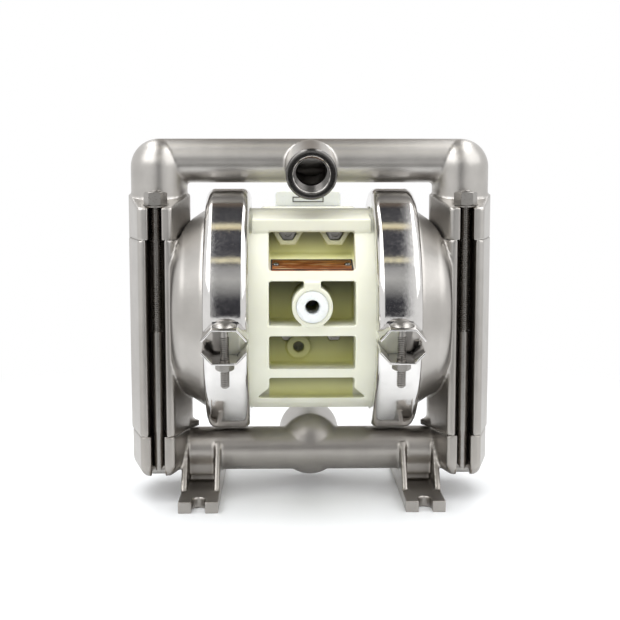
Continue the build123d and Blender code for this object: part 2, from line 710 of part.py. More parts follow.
# Centre section: a ribbed round block between two air chambers
with BuildPart() as center_section:
    with BuildSketch(shaft_plane):
        with BuildLine():
            Polyline(
                (0, 0),
                (0, block_radius),
                (clamp_x - rim_half_width, block_radius),
                (clamp_x - rim_half_width, rim_shoulder_radius),
                (clamp_x - rim_crown_half_width, rim_radius),
                (clamp_x - rim_gap, rim_radius),
                (clamp_x - rim_gap, diaphragm_radius + blend),
                (clamp_x - half_diaphragm, diaphragm_radius + blend),
                (clamp_x - half_diaphragm, air_chamber_mouth_radius),
                (air_chamber_floor, air_chamber_floor_radius),
                (air_chamber_floor, 0),
                (0, 0),
            )
        make_face()
    revolve(axis=shaft_axis)
    mirror(about=Plane.YZ)
    brow_half_width = clamp_x - band_half_width - part_gap
    with BuildSketch(Plane.YZ.offset(-brow_half_width)):
        with BuildLine():
            brow_end = brow_reach - brow_depth
            Polyline(
                (-brow_reach, window_1_top),
                (-brow_reach, window_1_top + brow_height),
                (-brow_end, shaft_height + sqrt(block_radius**2 - brow_end**2)),
                (-brow_end, window_1_top),
                close=True,
            )
        make_face()
    extrude(amount=2 * brow_half_width)
    with BuildSketch(front_plane(0)):
        with Locations((0, rear_pad_bottom + rear_pad_height / 2)):
            RectangleRounded(2 * rear_pad_half_width, rear_pad_height, rear_pad_corner)
    extrude(amount=-rear_pad_reach)
    with BuildSketch(front_plane(rear_pad_reach)):
        with Locations((0, rear_pad_bottom + block_radius)):
            Rectangle(2 * block_half_width, 2 * block_radius)
    extrude(amount=-block_radius, mode=Mode.SUBTRACT)
    for window_bottom, window_top in (
        (window_4_bottom, window_4_top),
        (window_3_bottom, window_3_top),
        (window_2_bottom, window_2_top),
        (window_1_bottom, window_1_top),
    ):
        with BuildSketch(front_plane(-window_back)):
            with Locations((0, (window_bottom + window_top) / 2)):
                RectangleRounded(
                    2 * window_half_width, window_top - window_bottom, window_fillet
                )
        extrude(amount=block_radius, mode=Mode.SUBTRACT)
    corner_run = window_half_width + corner_chamfer
    with BuildSketch(front_plane(-window_back)):
        with BuildLine():
            Polyline(
                (-corner_run, window_4_bottom),
                (corner_run, window_4_bottom),
                (window_half_width, window_4_bottom + corner_chamfer),
                (-window_half_width, window_4_bottom + corner_chamfer),
                (-corner_run, window_4_bottom),
            )
        make_face()
    extrude(amount=block_radius, mode=Mode.SUBTRACT)
    slope_front = sqrt(block_radius**2 - (window_1_bottom - shaft_height) ** 2)
    slope_rise = (slope_front - window_back) * tan(radians(label_slope))
    with BuildSketch(Plane.YZ.offset(-window_half_width)):
        with BuildLine():
            Polyline(
                (-slope_front, window_1_bottom),
                (-window_back, window_1_bottom + slope_rise),
                (-window_back, window_1_bottom - blend),
                (-slope_front, window_1_bottom - blend),
                (-slope_front, window_1_bottom),
            )
        make_face()
    extrude(amount=2 * window_half_width)
    with BuildSketch(front_plane(-window_back)):
        with Locations((0, air_inlet_height)):
            Circle(air_inlet_radius)
        with Locations((0, (air_inlet_height + window_2_top) / 2)):
            Rectangle(2 * air_inlet_web, window_2_top - air_inlet_height)
    extrude(amount=air_inlet_reach - window_back)
    with BuildSketch(front_plane(-window_back)):
        with Locations((small_boss_x, small_boss_height)):
            Circle(small_boss_radius)
    extrude(amount=small_boss_length)
    with BuildSketch(front_plane(-window_back)):
        with Locations((0, upper_screw_height)):
            with GridLocations(nut_boss_spacing, 1, 2, 1):
                RegularPolygon(nut_boss_flat / 2, 6, major_radius=False)
    extrude(amount=nut_boss_reach - window_back)
    with BuildSketch(front_plane(exhaust_reach)):
        with Locations((0, exhaust_height)):
            Circle(exhaust_radius)
    extrude(amount=exhaust_reach)
    nut_pocket = (screw_head_flat + 2 * fit_clearance) / 2
    for level, face_y, recess in nut_places:
        nut_depth = recess + air_valve_nut_height
        with BuildSketch(front_plane(-face_y)):
            with Locations((0, level)):
                with GridLocations(nut_boss_spacing, 1, 2, 1):
                    RegularPolygon(nut_pocket, 6, major_radius=False)
        extrude(amount=-nut_depth, mode=Mode.SUBTRACT)
        with BuildSketch(front_plane(-face_y)):
            with Locations((0, level)):
                with GridLocations(nut_boss_spacing, 1, 2, 1):
                    Circle(screw_hole_radius)
        extrude(amount=-face_y - rear_pad_reach, mode=Mode.SUBTRACT)
    with BuildSketch(front_plane(-air_inlet_reach)):
        with Locations((0, air_inlet_height)):
            Circle(bushing_radius + fit_clearance)
    extrude(amount=-bushing_length - fit_clearance, mode=Mode.SUBTRACT)
    with BuildSketch(front_plane(-air_inlet_reach)):
        with Locations((0, air_inlet_height)):
            Circle(air_passage_radius)
    extrude(amount=-air_inlet_reach - air_passage_y, mode=Mode.SUBTRACT)
    with BuildSketch(Plane.XY.offset(air_inlet_height)):
        with Locations((0, air_passage_y)):
            Circle(air_passage_radius)
    extrude(amount=air_passage_height - air_inlet_height, mode=Mode.SUBTRACT)
    with BuildSketch(front_plane(air_passage_y)):
        with Locations((0, air_passage_height)):
            Circle(air_passage_radius)
    extrude(amount=air_passage_y - rear_pad_reach, mode=Mode.SUBTRACT)
    with BuildSketch(front_plane(-window_back - small_boss_length)):
        with Locations((small_boss_x, small_boss_height)):
            Circle(small_boss_hole)
    extrude(amount=-small_boss_length - window_back / 2, mode=Mode.SUBTRACT)
    with BuildSketch(front_plane(exhaust_reach)):
        with Locations((0, exhaust_height)):
            Circle(exhaust_thread_radius)
    extrude(amount=exhaust_depth, mode=Mode.SUBTRACT)
    with BuildSketch(Plane.XY.offset(exhaust_height)):
        with Locations((0, exhaust_passage_y)):
            Circle(air_passage_radius)
    extrude(amount=exhaust_passage_height - exhaust_height, mode=Mode.SUBTRACT)
    with BuildSketch(front_plane(exhaust_passage_y)):
        with Locations((0, exhaust_passage_height)):
            Circle(air_passage_radius)
    extrude(amount=exhaust_passage_y - rear_pad_reach, mode=Mode.SUBTRACT)
    bore_reach = air_chamber_floor + part_gap
    with BuildSketch(side_plane.offset(-bore_reach)):
        Circle(shaft_radius + 2 * part_gap)
        with Locations((pilot_y, pilot_height - shaft_height)):
            Circle(pilot_sleeve_radius + fit_clearance)
    extrude(amount=2 * bore_reach, mode=Mode.SUBTRACT)
    bushing_bottom = air_chamber_floor - shaft_bushing_inset - shaft_bushing_length
    for way in (-1, 1):
        with BuildSketch(side_plane.offset(way * air_chamber_floor)):
            Circle(shaft_bushing_radius + fit_clearance)
        extrude(amount=way * (bushing_bottom - air_chamber_floor), mode=Mode.SUBTRACT)
        with BuildSketch(side_plane.offset(way * air_chamber_floor)):
            Circle(disc_spring_radius + disc_spring_gap)
        extrude(amount=-way * (shaft_bushing_inset / 2), mode=Mode.SUBTRACT)
        with BuildSketch(side_plane.offset(way * (clamp_x - half_diaphragm))):
            Circle(bead_radius + bead_wire + fit_clearance)
            Circle(bead_radius - bead_wire - fit_clearance, mode=Mode.SUBTRACT)
        extrude(amount=-way * (bead_wire + fit_clearance), mode=Mode.SUBTRACT)
save(center_section, "center_section")


# Diaphragms, and what clamps them to the shaft
with BuildPart() as diaphragm:
    with BuildSketch(shaft_plane):
        rim_x = clamp_x - half_diaphragm + running_clearance
        rim_top = clamp_x + half_diaphragm - running_clearance
        hub_x = diaphragm_hub_x
        crest = convolution_height + diaphragm_offset
        with BuildLine():
            Spline(
                (hub_x, piston_radius),
                (rim_x + crest, (piston_radius + air_chamber_mouth_radius) / 2),
                (rim_x, air_chamber_mouth_radius),
                tangents=((0.6, 1), (-0.6, 1)),
            )
            Polyline(
                (rim_x, air_chamber_mouth_radius),
                (rim_x, bead_radius - bead_wire),
            )
            Polyline(
                (rim_x, bead_radius - bead_wire),
                (rim_x - bead_wire, bead_radius - bead_wire),
                (rim_x - bead_wire, bead_radius + bead_wire),
                (rim_x, bead_radius + bead_wire),
                (rim_x, diaphragm_radius),
                (rim_top, diaphragm_radius),
                (rim_top, air_chamber_mouth_radius),
            )
            Spline(
                (rim_top, air_chamber_mouth_radius),
                (rim_top + crest, (piston_radius + air_chamber_mouth_radius) / 2),
                (hub_x + diaphragm_thickness, piston_radius),
                tangents=((0.6, -1), (-0.6, -1)),
            )
            Polyline(
                (hub_x + diaphragm_thickness, piston_radius),
                (hub_x + diaphragm_thickness, stud_radius + running_clearance),
                (hub_x, stud_radius + running_clearance),
                (hub_x, piston_radius),
            )
        make_face()
    revolve(axis=shaft_axis)
save_pair(diaphragm, "diaphragm")

with BuildPart() as outer_piston:
    with BuildSketch(shaft_plane):
        with BuildLine():
            Polyline(
                (outer_piston_x, 0),
                (outer_piston_x, piston_radius - blend),
                (outer_piston_x + outer_piston_thickness / 3, piston_radius),
            )
            TangentArc(
                (outer_piston_x + outer_piston_thickness, 0),
                (outer_piston_x + outer_piston_thickness / 3, piston_radius),
                tangent=(0, 1),
            )
            Line((outer_piston_x + outer_piston_thickness, 0), (outer_piston_x, 0))
        make_face()
    revolve(axis=shaft_axis)
    with BuildSketch(side_plane.offset(outer_piston_x)):
        Circle(stud_radius + running_clearance)
    stud_end = shoulder_x + stud_length
    extrude(amount=stud_end - outer_piston_x + part_gap, mode=Mode.SUBTRACT)
save_pair(outer_piston, "outer_piston")

with BuildPart() as inner_piston:
    with BuildSketch(side_plane.offset(inner_piston_x)):
        Circle(piston_radius)
        Circle(stud_radius + running_clearance, mode=Mode.SUBTRACT)
    extrude(amount=inner_piston_thickness)
    chamfer(edges().filter_by(GeomType.CIRCLE).sort_by(SortBy.RADIUS)[-2:], piston_chamfer)
save_pair(inner_piston, "inner_piston")

with BuildPart() as disc_spring:
    with BuildSketch(side_plane.offset(shoulder_x)):
        Circle(disc_spring_radius)
        Circle(stud_radius + running_clearance, mode=Mode.SUBTRACT)
    extrude(amount=disc_spring_thickness)
save_pair(disc_spring, "disc_spring")

with BuildPart() as diaphragm_shaft:
    with BuildSketch(side_plane.offset(-shoulder_x)):
        Circle(shaft_radius)
    extrude(amount=2 * shoulder_x)
    with BuildSketch(side_plane.offset(-stud_end)):
        Circle(stud_radius)
    extrude(amount=2 * stud_end)
save(diaphragm_shaft, "diaphragm_shaft")

with BuildPart() as shaft_bushings:
    for way in (-1, 1):
        with BuildSketch(side_plane.offset(way * bushing_bottom)):
            Circle(shaft_bushing_radius)
            Circle(shaft_radius + running_clearance, mode=Mode.SUBTRACT)
        extrude(amount=way * shaft_bushing_length)
save(shaft_bushings, "shaft_bushings")

with BuildPart() as shaft_seals:
    for way in (-1, 1):
        seal_x = bushing_bottom + shaft_bushing_length
        with BuildSketch(side_plane.offset(way * seal_x)):
            Circle(shaft_bushing_radius)
            Circle(shaft_radius + running_clearance, mode=Mode.SUBTRACT)
        extrude(amount=way * (shaft_bushing_inset / 2 - part_gap))
save(shaft_seals, "shaft_seals")


# Pilot valve beside the shaft
pilot_plane = Plane(origin=(0, pilot_y, pilot_height), x_dir=(0, 1, 0), z_dir=(1, 0, 0))
with BuildPart() as pilot_sleeve:
    with BuildSketch(pilot_plane.offset(-pilot_sleeve_half_length)):
        Circle(pilot_sleeve_radius)
        Circle(pilot_spool_radius + running_clearance, mode=Mode.SUBTRACT)
    extrude(amount=2 * pilot_sleeve_half_length)
save(pilot_sleeve, "pilot_sleeve")

with BuildPart() as pilot_spool:
    with BuildSketch(pilot_plane.offset(-pilot_spool_half_length)):
        Circle(pilot_spool_radius)
    extrude(amount=2 * pilot_spool_half_length)
    for way in (-1, 1):
        groove_start = way * pilot_groove_half_width - pilot_groove_half_width / 2
        with BuildSketch(pilot_plane.offset(groove_start)):
            Circle(pilot_spool_radius + blend)
            Circle(pilot_groove_radius, mode=Mode.SUBTRACT)
        extrude(amount=pilot_groove_half_width, mode=Mode.SUBTRACT)
save(pilot_spool, "pilot_spool")


# Valve balls, their seats and the rings round the seats
ball_bases = {
    "inlet": inlet_joint_height - seat_depth_below,
    "discharge": discharge_joint_height - seat_depth_below,
}
for valve, seat_bottom in ball_bases.items():
    with BuildPart() as ball:
        rise = seat_height + ball_centre_rise
        with Locations(Location((leg_x, 0, seat_bottom + rise))):
            Sphere(ball_radius)
    save(ball, f"right_{valve}_ball")
    with BuildPart() as left_ball:
        mirror(ball.part, about=Plane.YZ)
    save(left_ball, f"left_{valve}_ball")
    with BuildPart() as seats:
        with BuildSketch(Plane.XY.offset(seat_bottom)):
            with GridLocations(leg_spacing, 1, 2, 1):
                Circle(seat_radius)
                Circle(seat_bore_radius, mode=Mode.SUBTRACT)
        extrude(amount=seat_height)
    save(seats, f"{valve}_seats")

with BuildPart() as seat_rings:
    for joint_height in (inlet_joint_height, discharge_joint_height):
        with BuildSketch(Plane.XY.offset(joint_height - seat_ring_wire)):
            with GridLocations(leg_spacing, 1, 2, 1):
                Circle(seat_ring_radius + seat_ring_wire)
                Circle(seat_radius + fit_clearance, mode=Mode.SUBTRACT)
        extrude(amount=2 * seat_ring_wire)
save(seat_rings, "seat_o_rings")


# Clamp bands: two halves of a V ring, with half-octagon lugs at both joints
def clamp_half(way):
    """The upper half of a clamp for way = 1, and the lower half for way = -1."""
    slope = (band_radius - band_crown_half_width - band_inner_radius) / 2
    with BuildSketch(shaft_plane) as section:
        with BuildLine():
            outline = FilletPolyline(
                (clamp_x - band_half_width, band_inner_radius),
                (clamp_x - band_half_width, band_radius),
                (clamp_x + band_half_width, band_radius),
                (clamp_x + band_half_width, band_inner_radius),
                radius=band_half_width - band_crown_half_width,
            )
            Line(outline @ 0, outline @ 1)
        make_face()
        with BuildLine():
            Polyline(
                (clamp_x - rim_half_width - part_gap, band_inner_radius - slope),
                (clamp_x - rim_half_width - part_gap, rim_shoulder_radius + fit_clearance),
                (clamp_x - rim_crown_half_width - fit_clearance, rim_radius + part_gap),
                (clamp_x - rim_crown_half_width, band_radius - band_thickness),
                (clamp_x + rim_crown_half_width, band_radius - band_thickness),
                (clamp_x + rim_crown_half_width + fit_clearance, rim_radius + part_gap),
                (clamp_x + rim_half_width + part_gap, rim_shoulder_radius + fit_clearance),
                (clamp_x + rim_half_width + part_gap, band_inner_radius - slope),
                close=True,
            )
        make_face(mode=Mode.SUBTRACT)
    revolve(section.sketch, axis=shaft_axis)
    keep = Location((clamp_x, 0, shaft_height + way * clamp_gap))
    with Locations(keep):
        Box(
            4 * band_half_width,
            4 * band_radius,
            2 * band_radius,
            align=(Align.CENTER, Align.CENTER, Align.MIN if way > 0 else Align.MAX),
            mode=Mode.INTERSECT,
        )
    lug_start = sqrt(band_radius**2 - clamp_lug_half_width**2) - band_thickness
    for front in (-1, 1):
        trough = [
            (-clamp_lug_half_width, way * clamp_gap),
            (-clamp_lug_flat, way * clamp_lug_height),
            (clamp_lug_flat, way * clamp_lug_height),
            (clamp_lug_half_width, way * clamp_gap),
        ]
        lug_plane = Plane(
            origin=(clamp_x, front * lug_start, shaft_height),
            x_dir=(1, 0, 0),
            z_dir=(0, -1, 0),
        )
        lug_run = -front * (clamp_lug_reach - lug_start)
        with BuildSketch(lug_plane) as opening:
            with BuildLine():
                Polyline(*trough, close=True)
            make_face()
        extrude(opening.sketch, amount=lug_run, mode=Mode.SUBTRACT)
        with BuildSketch(lug_plane) as sheet:
            with BuildLine() as sheet_line:
                Polyline(*trough)
            trace(sheet_line.line, line_width=clamp_lug_sheet)
        extrude(sheet.sketch, amount=lug_run)
        hole = Location(
            (clamp_x, front * clamp_bolt_reach, shaft_height + way * clamp_lug_height)
        )
        with Locations(hole):
            Cylinder(
                clamp_bolt_radius + fit_clearance, 4 * clamp_lug_sheet, mode=Mode.SUBTRACT
            )


def tilted(part):
    """A clamp piece turned about the shaft, so that its front joint sits lower."""
    return part.rotate(shaft_axis, clamp_tilt)


for half_name, way in (("upper", 1), ("lower", -1)):
    with BuildPart() as straight_half:
        clamp_half(way)
    with BuildPart() as clamp:
        add(tilted(straight_half.part))
    save_pair(clamp, f"clamp_{half_name}")

lug_skin = clamp_lug_height + clamp_lug_sheet / 2
with BuildPart() as straight_bolts:
    for side in (-1, 1):
        for front in (-1, 1):
            seat = (side * clamp_x, front * clamp_bolt_reach, shaft_height + lug_skin)
            with BuildSketch(Plane(origin=seat, x_dir=(1, 0, 0), z_dir=(0, -1, 0))):
                with BuildLine():
                    Polyline(
                        (0, clamp_head_height),
                        (0, -clamp_bolt_length),
                        (clamp_bolt_radius, -clamp_bolt_length),
                        (clamp_bolt_radius, 0),
                        (clamp_head_radius, 0),
                    )
                    TangentArc(
                        (0, clamp_head_height), (clamp_head_radius, 0), tangent=(1, 0)
                    )
                make_face()
            revolve(axis=Axis(seat, (0, 0, 1)))
with BuildPart() as clamp_bolts:
    add(tilted(straight_bolts.part))
save(clamp_bolts, "clamp_bolts")

with BuildPart() as straight_nuts:
    with BuildSketch(Plane.XY.offset(shaft_height - lug_skin)):
        with GridLocations(clamp_spacing, 2 * clamp_bolt_reach, 2, 2):
            RegularPolygon(clamp_nut_flat / 2, 6, major_radius=False)
            Circle(clamp_bolt_radius + running_clearance, mode=Mode.SUBTRACT)
    extrude(amount=-clamp_nut_height)
with BuildPart() as clamp_nuts:
    add(tilted(straight_nuts.part))
save(clamp_nuts, "clamp_nuts")


# Long bolts that pull both manifolds onto the chambers
lug_seat = discharge_joint_height + spot_face_height
with BuildPart() as manifold_bolts:
    with BuildSketch(Plane.XY.offset(tee_height)):
        with GridLocations(leg_spacing, 2 * manifold_bolt_reach, 2, 2):
            Circle(manifold_bolt_radius)
    extrude(amount=manifold_bolt_top - tee_height)
    for side in (-1, 1):
        for front in (-1, 1):
            tee = (side * leg_x, front * manifold_bolt_reach, tee_height)
            with Locations(Location(tee, (0, 90, 0))):
                Cylinder(tee_radius, tee_length)
save(manifold_bolts, "manifold_bolts")

with BuildPart() as manifold_washers:
    with BuildSketch(Plane.XY.offset(lug_seat)):
        with GridLocations(leg_spacing, 2 * manifold_bolt_reach, 2, 2):
            Circle(washer_radius)
            Circle(manifold_bolt_radius + fit_clearance, mode=Mode.SUBTRACT)
    extrude(amount=washer_thickness)
save(manifold_washers, "manifold_washers")

with BuildPart() as manifold_nuts:
    with BuildSketch(Plane.XY.offset(lug_seat + washer_thickness)):
        with GridLocations(leg_spacing, 2 * manifold_bolt_reach, 2, 2):
            RegularPolygon(manifold_nut_flat / 2, 6, major_radius=False)
            Circle(manifold_bolt_radius + running_clearance, mode=Mode.SUBTRACT)
    extrude(amount=manifold_nut_height)
save(manifold_nuts, "manifold_nuts")


# Air inlet bushing in the front boss
with BuildPart() as air_inlet_bushing:
    with BuildSketch(front_plane(-air_inlet_reach)):
        with Locations((0, air_inlet_height)):
            Circle(bushing_radius)
    extrude(amount=-bushing_length)
    with BuildSketch(front_plane(-air_inlet_reach)):
        with Locations((0, air_inlet_height)):
            RegularPolygon(bushing_radius, 6)
    extrude(amount=bushing_flange)
    with BuildSketch(front_plane(-air_inlet_reach - bushing_flange)):
        with Locations((0, air_inlet_height)):
            Circle(air_port_radius)
    extrude(amount=-bushing_length - bushing_flange, mode=Mode.SUBTRACT)
save(air_inlet_bushing, "air_inlet_bushing")


# Label plate on the sloping rib, left bare
slope_plane = Plane(
    origin=(0, -slope_front, window_1_bottom),
    x_dir=(1, 0, 0),
    z_dir=(0, -sin(radians(label_slope)), cos(radians(label_slope))),
)
with BuildPart() as label_plate:
    with BuildSketch(slope_plane):
        with Locations((0, label_setback)):
            RectangleRounded(label_width, label_depth, label_corner)
    extrude(amount=label_thickness)
save(label_plate, "label_plate")

with BuildPart() as label_screws:
    with BuildSketch(slope_plane.offset(label_thickness)):
        with Locations((0, label_setback)):
            with GridLocations(label_screw_spacing, 1, 2, 1):
                Circle(label_screw_radius)
    extrude(amount=label_screw_height)
save(label_screws, "label_screws")


# Plate, gaskets and air valve bolted to the back
def back_plate(y, thickness):
    """A flat plate of the rear pad's outline, with the screw holes."""
    with BuildSketch(back_facing_plane(y)) as plate:
        with Locations((0, rear_pad_bottom + rear_pad_height / 2)):
            RectangleRounded(2 * rear_pad_half_width, rear_pad_height, rear_pad_corner)
        for level in (lower_screw_height, upper_screw_height):
            with Locations((0, level)):
                with GridLocations(nut_boss_spacing, 1, 2, 1):
                    Circle(screw_hole_radius, mode=Mode.SUBTRACT)
    extrude(plate.sketch, amount=thickness)


with BuildPart() as muffler_plate_gasket:
    back_plate(gasket_1_y, gasket_thickness)
save(muffler_plate_gasket, "muffler_plate_gasket")

with BuildPart() as muffler_plate:
    back_plate(plate_y, muffler_plate_thickness)
save(muffler_plate, "muffler_plate")


def valve_block(y, bottom, top, depth):
    """A block of the air valve's outline that faces the back, with the screw holes."""
    with BuildSketch(back_facing_plane(y)) as block:
        with Locations((0, (bottom + top) / 2)):
            RectangleRounded(2 * air_valve_half_width, top - bottom, air_valve_corner)
        for level in (lower_screw_height, upper_screw_height):
            with Locations((0, level)):
                with GridLocations(nut_boss_spacing, 1, 2, 1):
                    Circle(screw_hole_radius, mode=Mode.SUBTRACT)
    extrude(block.sketch, amount=depth)


with BuildPart() as air_valve_gasket:
    valve_block(gasket_2_y, air_valve_bottom, rear_pad_top, gasket_thickness)
save(air_valve_gasket, "air_valve_gasket")

cap_recess = end_cap_inset + end_cap_thickness
with BuildPart() as air_valve_body:
    valve_block(valve_y, air_valve_bottom, air_valve_top, air_valve_depth)
    with BuildSketch(Plane.XY.offset(air_valve_bottom)):
        with Locations((0, valve_bore_y)):
            Circle(valve_bore_radius)
    extrude(amount=air_valve_top - air_valve_bottom, mode=Mode.SUBTRACT)
    for level, depth in ((air_valve_bottom, cap_recess), (air_valve_top, -cap_recess)):
        with BuildSketch(Plane.XY.offset(level)):
            with Locations((0, valve_bore_y)):
                Circle(end_cap_radius + fit_clearance)
        extrude(amount=depth, mode=Mode.SUBTRACT)
save(air_valve_body, "air_valve_body")

for cap_name, cap_bottom in (
    ("lower", air_valve_bottom + end_cap_inset),
    ("upper", air_valve_top - cap_recess),
):
    with BuildPart() as end_cap:
        with BuildSketch(Plane.XY.offset(cap_bottom)):
            with Locations((0, valve_bore_y)):
                Circle(end_cap_radius)
        extrude(amount=end_cap_thickness)
        with BuildSketch(Plane.XY.offset(cap_bottom + end_cap_thickness / 2 - end_cap_ring_wire)):
            with Locations((0, valve_bore_y)):
                Circle(end_cap_radius + blend)
                Circle(end_cap_radius - 2 * end_cap_ring_wire, mode=Mode.SUBTRACT)
        extrude(amount=2 * end_cap_ring_wire, mode=Mode.SUBTRACT)
    save(end_cap, f"air_valve_{cap_name}_cap")

with BuildPart() as end_cap_rings:
    for cap_bottom in (air_valve_bottom + end_cap_inset, air_valve_top - cap_recess):
        middle = cap_bottom + end_cap_thickness / 2
        with BuildSketch(Plane.XY.offset(middle - end_cap_ring_wire + running_clearance)):
            with Locations((0, valve_bore_y)):
                Circle(end_cap_radius + running_clearance)
                Circle(end_cap_radius - 2 * end_cap_ring_wire + rim_gap, mode=Mode.SUBTRACT)
        extrude(amount=2 * (end_cap_ring_wire - running_clearance))
save(end_cap_rings, "end_cap_o_rings")

with BuildPart() as retaining_rings:
    for ring_bottom in (
        air_valve_bottom + end_cap_inset - retaining_ring_thickness,
        air_valve_top - end_cap_inset,
    ):
        with BuildSketch(Plane.XY.offset(ring_bottom)):
            with Locations((0, valve_bore_y)):
                Circle(end_cap_radius)
                Circle(end_cap_radius - retaining_ring_width, mode=Mode.SUBTRACT)
                with Locations((0, end_cap_radius)):
                    Rectangle(2 * retaining_ring_width, 4 * retaining_ring_width, mode=Mode.SUBTRACT)
        extrude(amount=retaining_ring_thickness)
save(retaining_rings, "end_cap_retaining_rings")

with BuildPart() as air_valve_spool:
    spool_bottom = air_valve_bottom + cap_recess + part_gap
    valve_bore_length = air_valve_top - air_valve_bottom - 2 * cap_recess
    valve_spool_length = valve_bore_length - valve_travel - 2 * part_gap
    with BuildSketch(Plane.XY.offset(spool_bottom)):
        with Locations((0, valve_bore_y)):
            Circle(valve_bore_radius - running_clearance)
    extrude(amount=valve_spool_length)
    land_pitch = (valve_spool_length - valve_spool_land) / 3
    for number in range(3):
        with BuildSketch(Plane.XY.offset(spool_bottom + valve_spool_land + number * land_pitch)):
            with Locations((0, valve_bore_y)):
                Circle(valve_bore_radius + blend)
                Circle(valve_spool_neck, mode=Mode.SUBTRACT)
        extrude(amount=land_pitch - valve_spool_land, mode=Mode.SUBTRACT)
save(air_valve_spool, "air_valve_spool")

with BuildPart() as air_valve_screws:
    for level, face_y, recess in nut_places:
        back_plane = back_facing_plane(valve_back)
        with BuildSketch(back_plane):
            with Locations((0, level)):
                with GridLocations(nut_boss_spacing, 1, 2, 1):
                    RegularPolygon(screw_head_flat / 2, 6, major_radius=False)
        extrude(amount=screw_head_height)
        with BuildSketch(back_plane):
            with Locations((0, level)):
                with GridLocations(nut_boss_spacing, 1, 2, 1):
                    Circle(screw_radius)
        extrude(amount=-valve_back - face_y + recess)
save(air_valve_screws, "air_valve_screws")

with BuildPart() as air_valve_nuts:
    for level, face_y, recess in nut_places:
        with BuildSketch(front_plane(-face_y + recess + air_valve_nut_height)):
            with Locations((0, level)):
                with GridLocations(nut_boss_spacing, 1, 2, 1):
                    RegularPolygon(screw_head_flat / 2, 6, major_radius=False)
                    Circle(screw_radius + running_clearance, mode=Mode.SUBTRACT)
        extrude(amount=air_valve_nut_height)
save(air_valve_nuts, "air_valve_nuts")
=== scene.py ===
"""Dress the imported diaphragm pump: castings, polished clamps, bolts and a moulded centre."""

import json
from math import asin, cos, pi, radians, sin, sqrt, tan

import bpy
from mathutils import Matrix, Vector


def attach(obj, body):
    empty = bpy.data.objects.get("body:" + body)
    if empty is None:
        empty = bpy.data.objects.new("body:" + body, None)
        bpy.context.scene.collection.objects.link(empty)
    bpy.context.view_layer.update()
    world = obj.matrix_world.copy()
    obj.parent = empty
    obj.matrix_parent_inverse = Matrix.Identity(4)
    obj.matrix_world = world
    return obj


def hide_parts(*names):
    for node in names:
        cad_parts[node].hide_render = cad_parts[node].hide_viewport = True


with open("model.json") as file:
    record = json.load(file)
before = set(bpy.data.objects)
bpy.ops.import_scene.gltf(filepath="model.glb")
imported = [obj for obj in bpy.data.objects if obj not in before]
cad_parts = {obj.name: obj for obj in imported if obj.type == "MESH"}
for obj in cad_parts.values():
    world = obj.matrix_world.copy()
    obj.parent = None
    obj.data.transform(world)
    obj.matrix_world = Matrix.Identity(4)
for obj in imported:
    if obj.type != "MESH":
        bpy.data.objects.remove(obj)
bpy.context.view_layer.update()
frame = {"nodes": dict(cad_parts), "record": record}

bl_info = {
    "name": "Diaphragm Pump Finish",
    "version": (1, 0, 0),
    "blender": (4, 5, 0),
    "location": "View3D > Sidebar > Pump",
    "description": "Builds the finished surfaces of a clamped steel diaphragm pump",
    "category": "Object",
}


def hex_colour(text):
    """Linear colour of an sRGB hex value, with full alpha."""
    channels = [int(text[i : i + 2], 16) / 255 for i in (0, 2, 4)]
    linear = [c / 12.92 if c <= 0.04045 else ((c + 0.055) / 1.055) ** 2.4 for c in channels]
    return (*linear, 1.0)


MM = 0.001
CASING = "casing"

# Places and sizes in millimetres, as the frame has them
SHAFT_HEIGHT = 137.5
CLAMP_X = 59.0
LEG_X = 110.0
BOLT_REACH = 30.0
TEE_HEIGHT = 23.6
LUG_SEAT = 212.5
BAND_RADIUS = 88.0
BAND_SKIRT = 74.5
BAND_HALF_WIDTH = 15.6
BAND_CROWN = 9.8
BAND_SPLIT = 3.9
CLAMP_TILT = radians(7.4)
CLAMP_BOLT_REACH = 98.0
LUG_START = 84.1
LUG_RUN = 23.9
LUG_TOP = 11.5
LUG_SHEET = 1.4
LUG_SKIN = 12.4
LUG_HOLE = 3.3
LUG_LINE = [(-15.0, 3.9), (-8.4, 11.5), (8.4, 11.5), (15.0, 3.9)]
LUG_MOUTH = [(15.0, -6.0), (-15.0, -6.0)]
DISCHARGE_HEIGHT = 245.6
OUTLET_REACH = 51.0
OUTLET_TILT = radians(11)
LABEL_SLOPE = radians(17.5)
LABEL_MIDDLE = (0, -56.2, 173.4)
LABEL_SCREWS = (-24.9, 24.9)
LABEL_PLATE_RISE = 0.8
LABEL_EDGE_RISE = 0.5
VALVE_PANEL_PLACE = (0, 67.4, 215.3)
CLAMP_NUT_HEIGHT = 5.6
CLAMP_THREAD_END = -42.2
LONG_THREAD_START = 100.6
WASHER_THICKNESS = 1.5
NUT_CHAMFER = radians(30)
NUT_COUNTERSINK = 0.5
MERGE_DISTANCE = 0.002 * MM

# Bottom and top of each window in the centre section
WINDOWS = ((77.0, 95.0), (101.0, 126.0), (133.0, 164.0), (176.0, 196.5))

# Regions of the pump that are coloured by place: painted shade in the bolt channels and the
# window recesses, and darkening towards the floor. Each limit is an axis, the middles that the
# coordinate is folded about in turn, and the values where the region starts and is full
# Painted shade deep in the bolt channels of the castings
SHADED_BOLT_CHANNELS = (
    (0, (0, LEG_X), 7.0, 6.0),
    (1, (0,), 40.2, 38.6),
    (1, (0,), 20.0, 23.0),
)
# Castings darker towards the floor, by this share of the darkening tint
TOWARDS_FLOOR = ((2, (), 210.0, 25.0),)
LOWER_DARKENING = 0.38
# Painted shade: the window recesses of the centre section are olive and darker
SHADED_WINDOW_RECESSES = (
    (0, (0,), 30.6, 29.4),
    (2, (SHAFT_HEIGHT,), 60.5, 58.4),
    (1, (), -60.0, -34.0),
    (1, (), -28.0, -31.0),
)

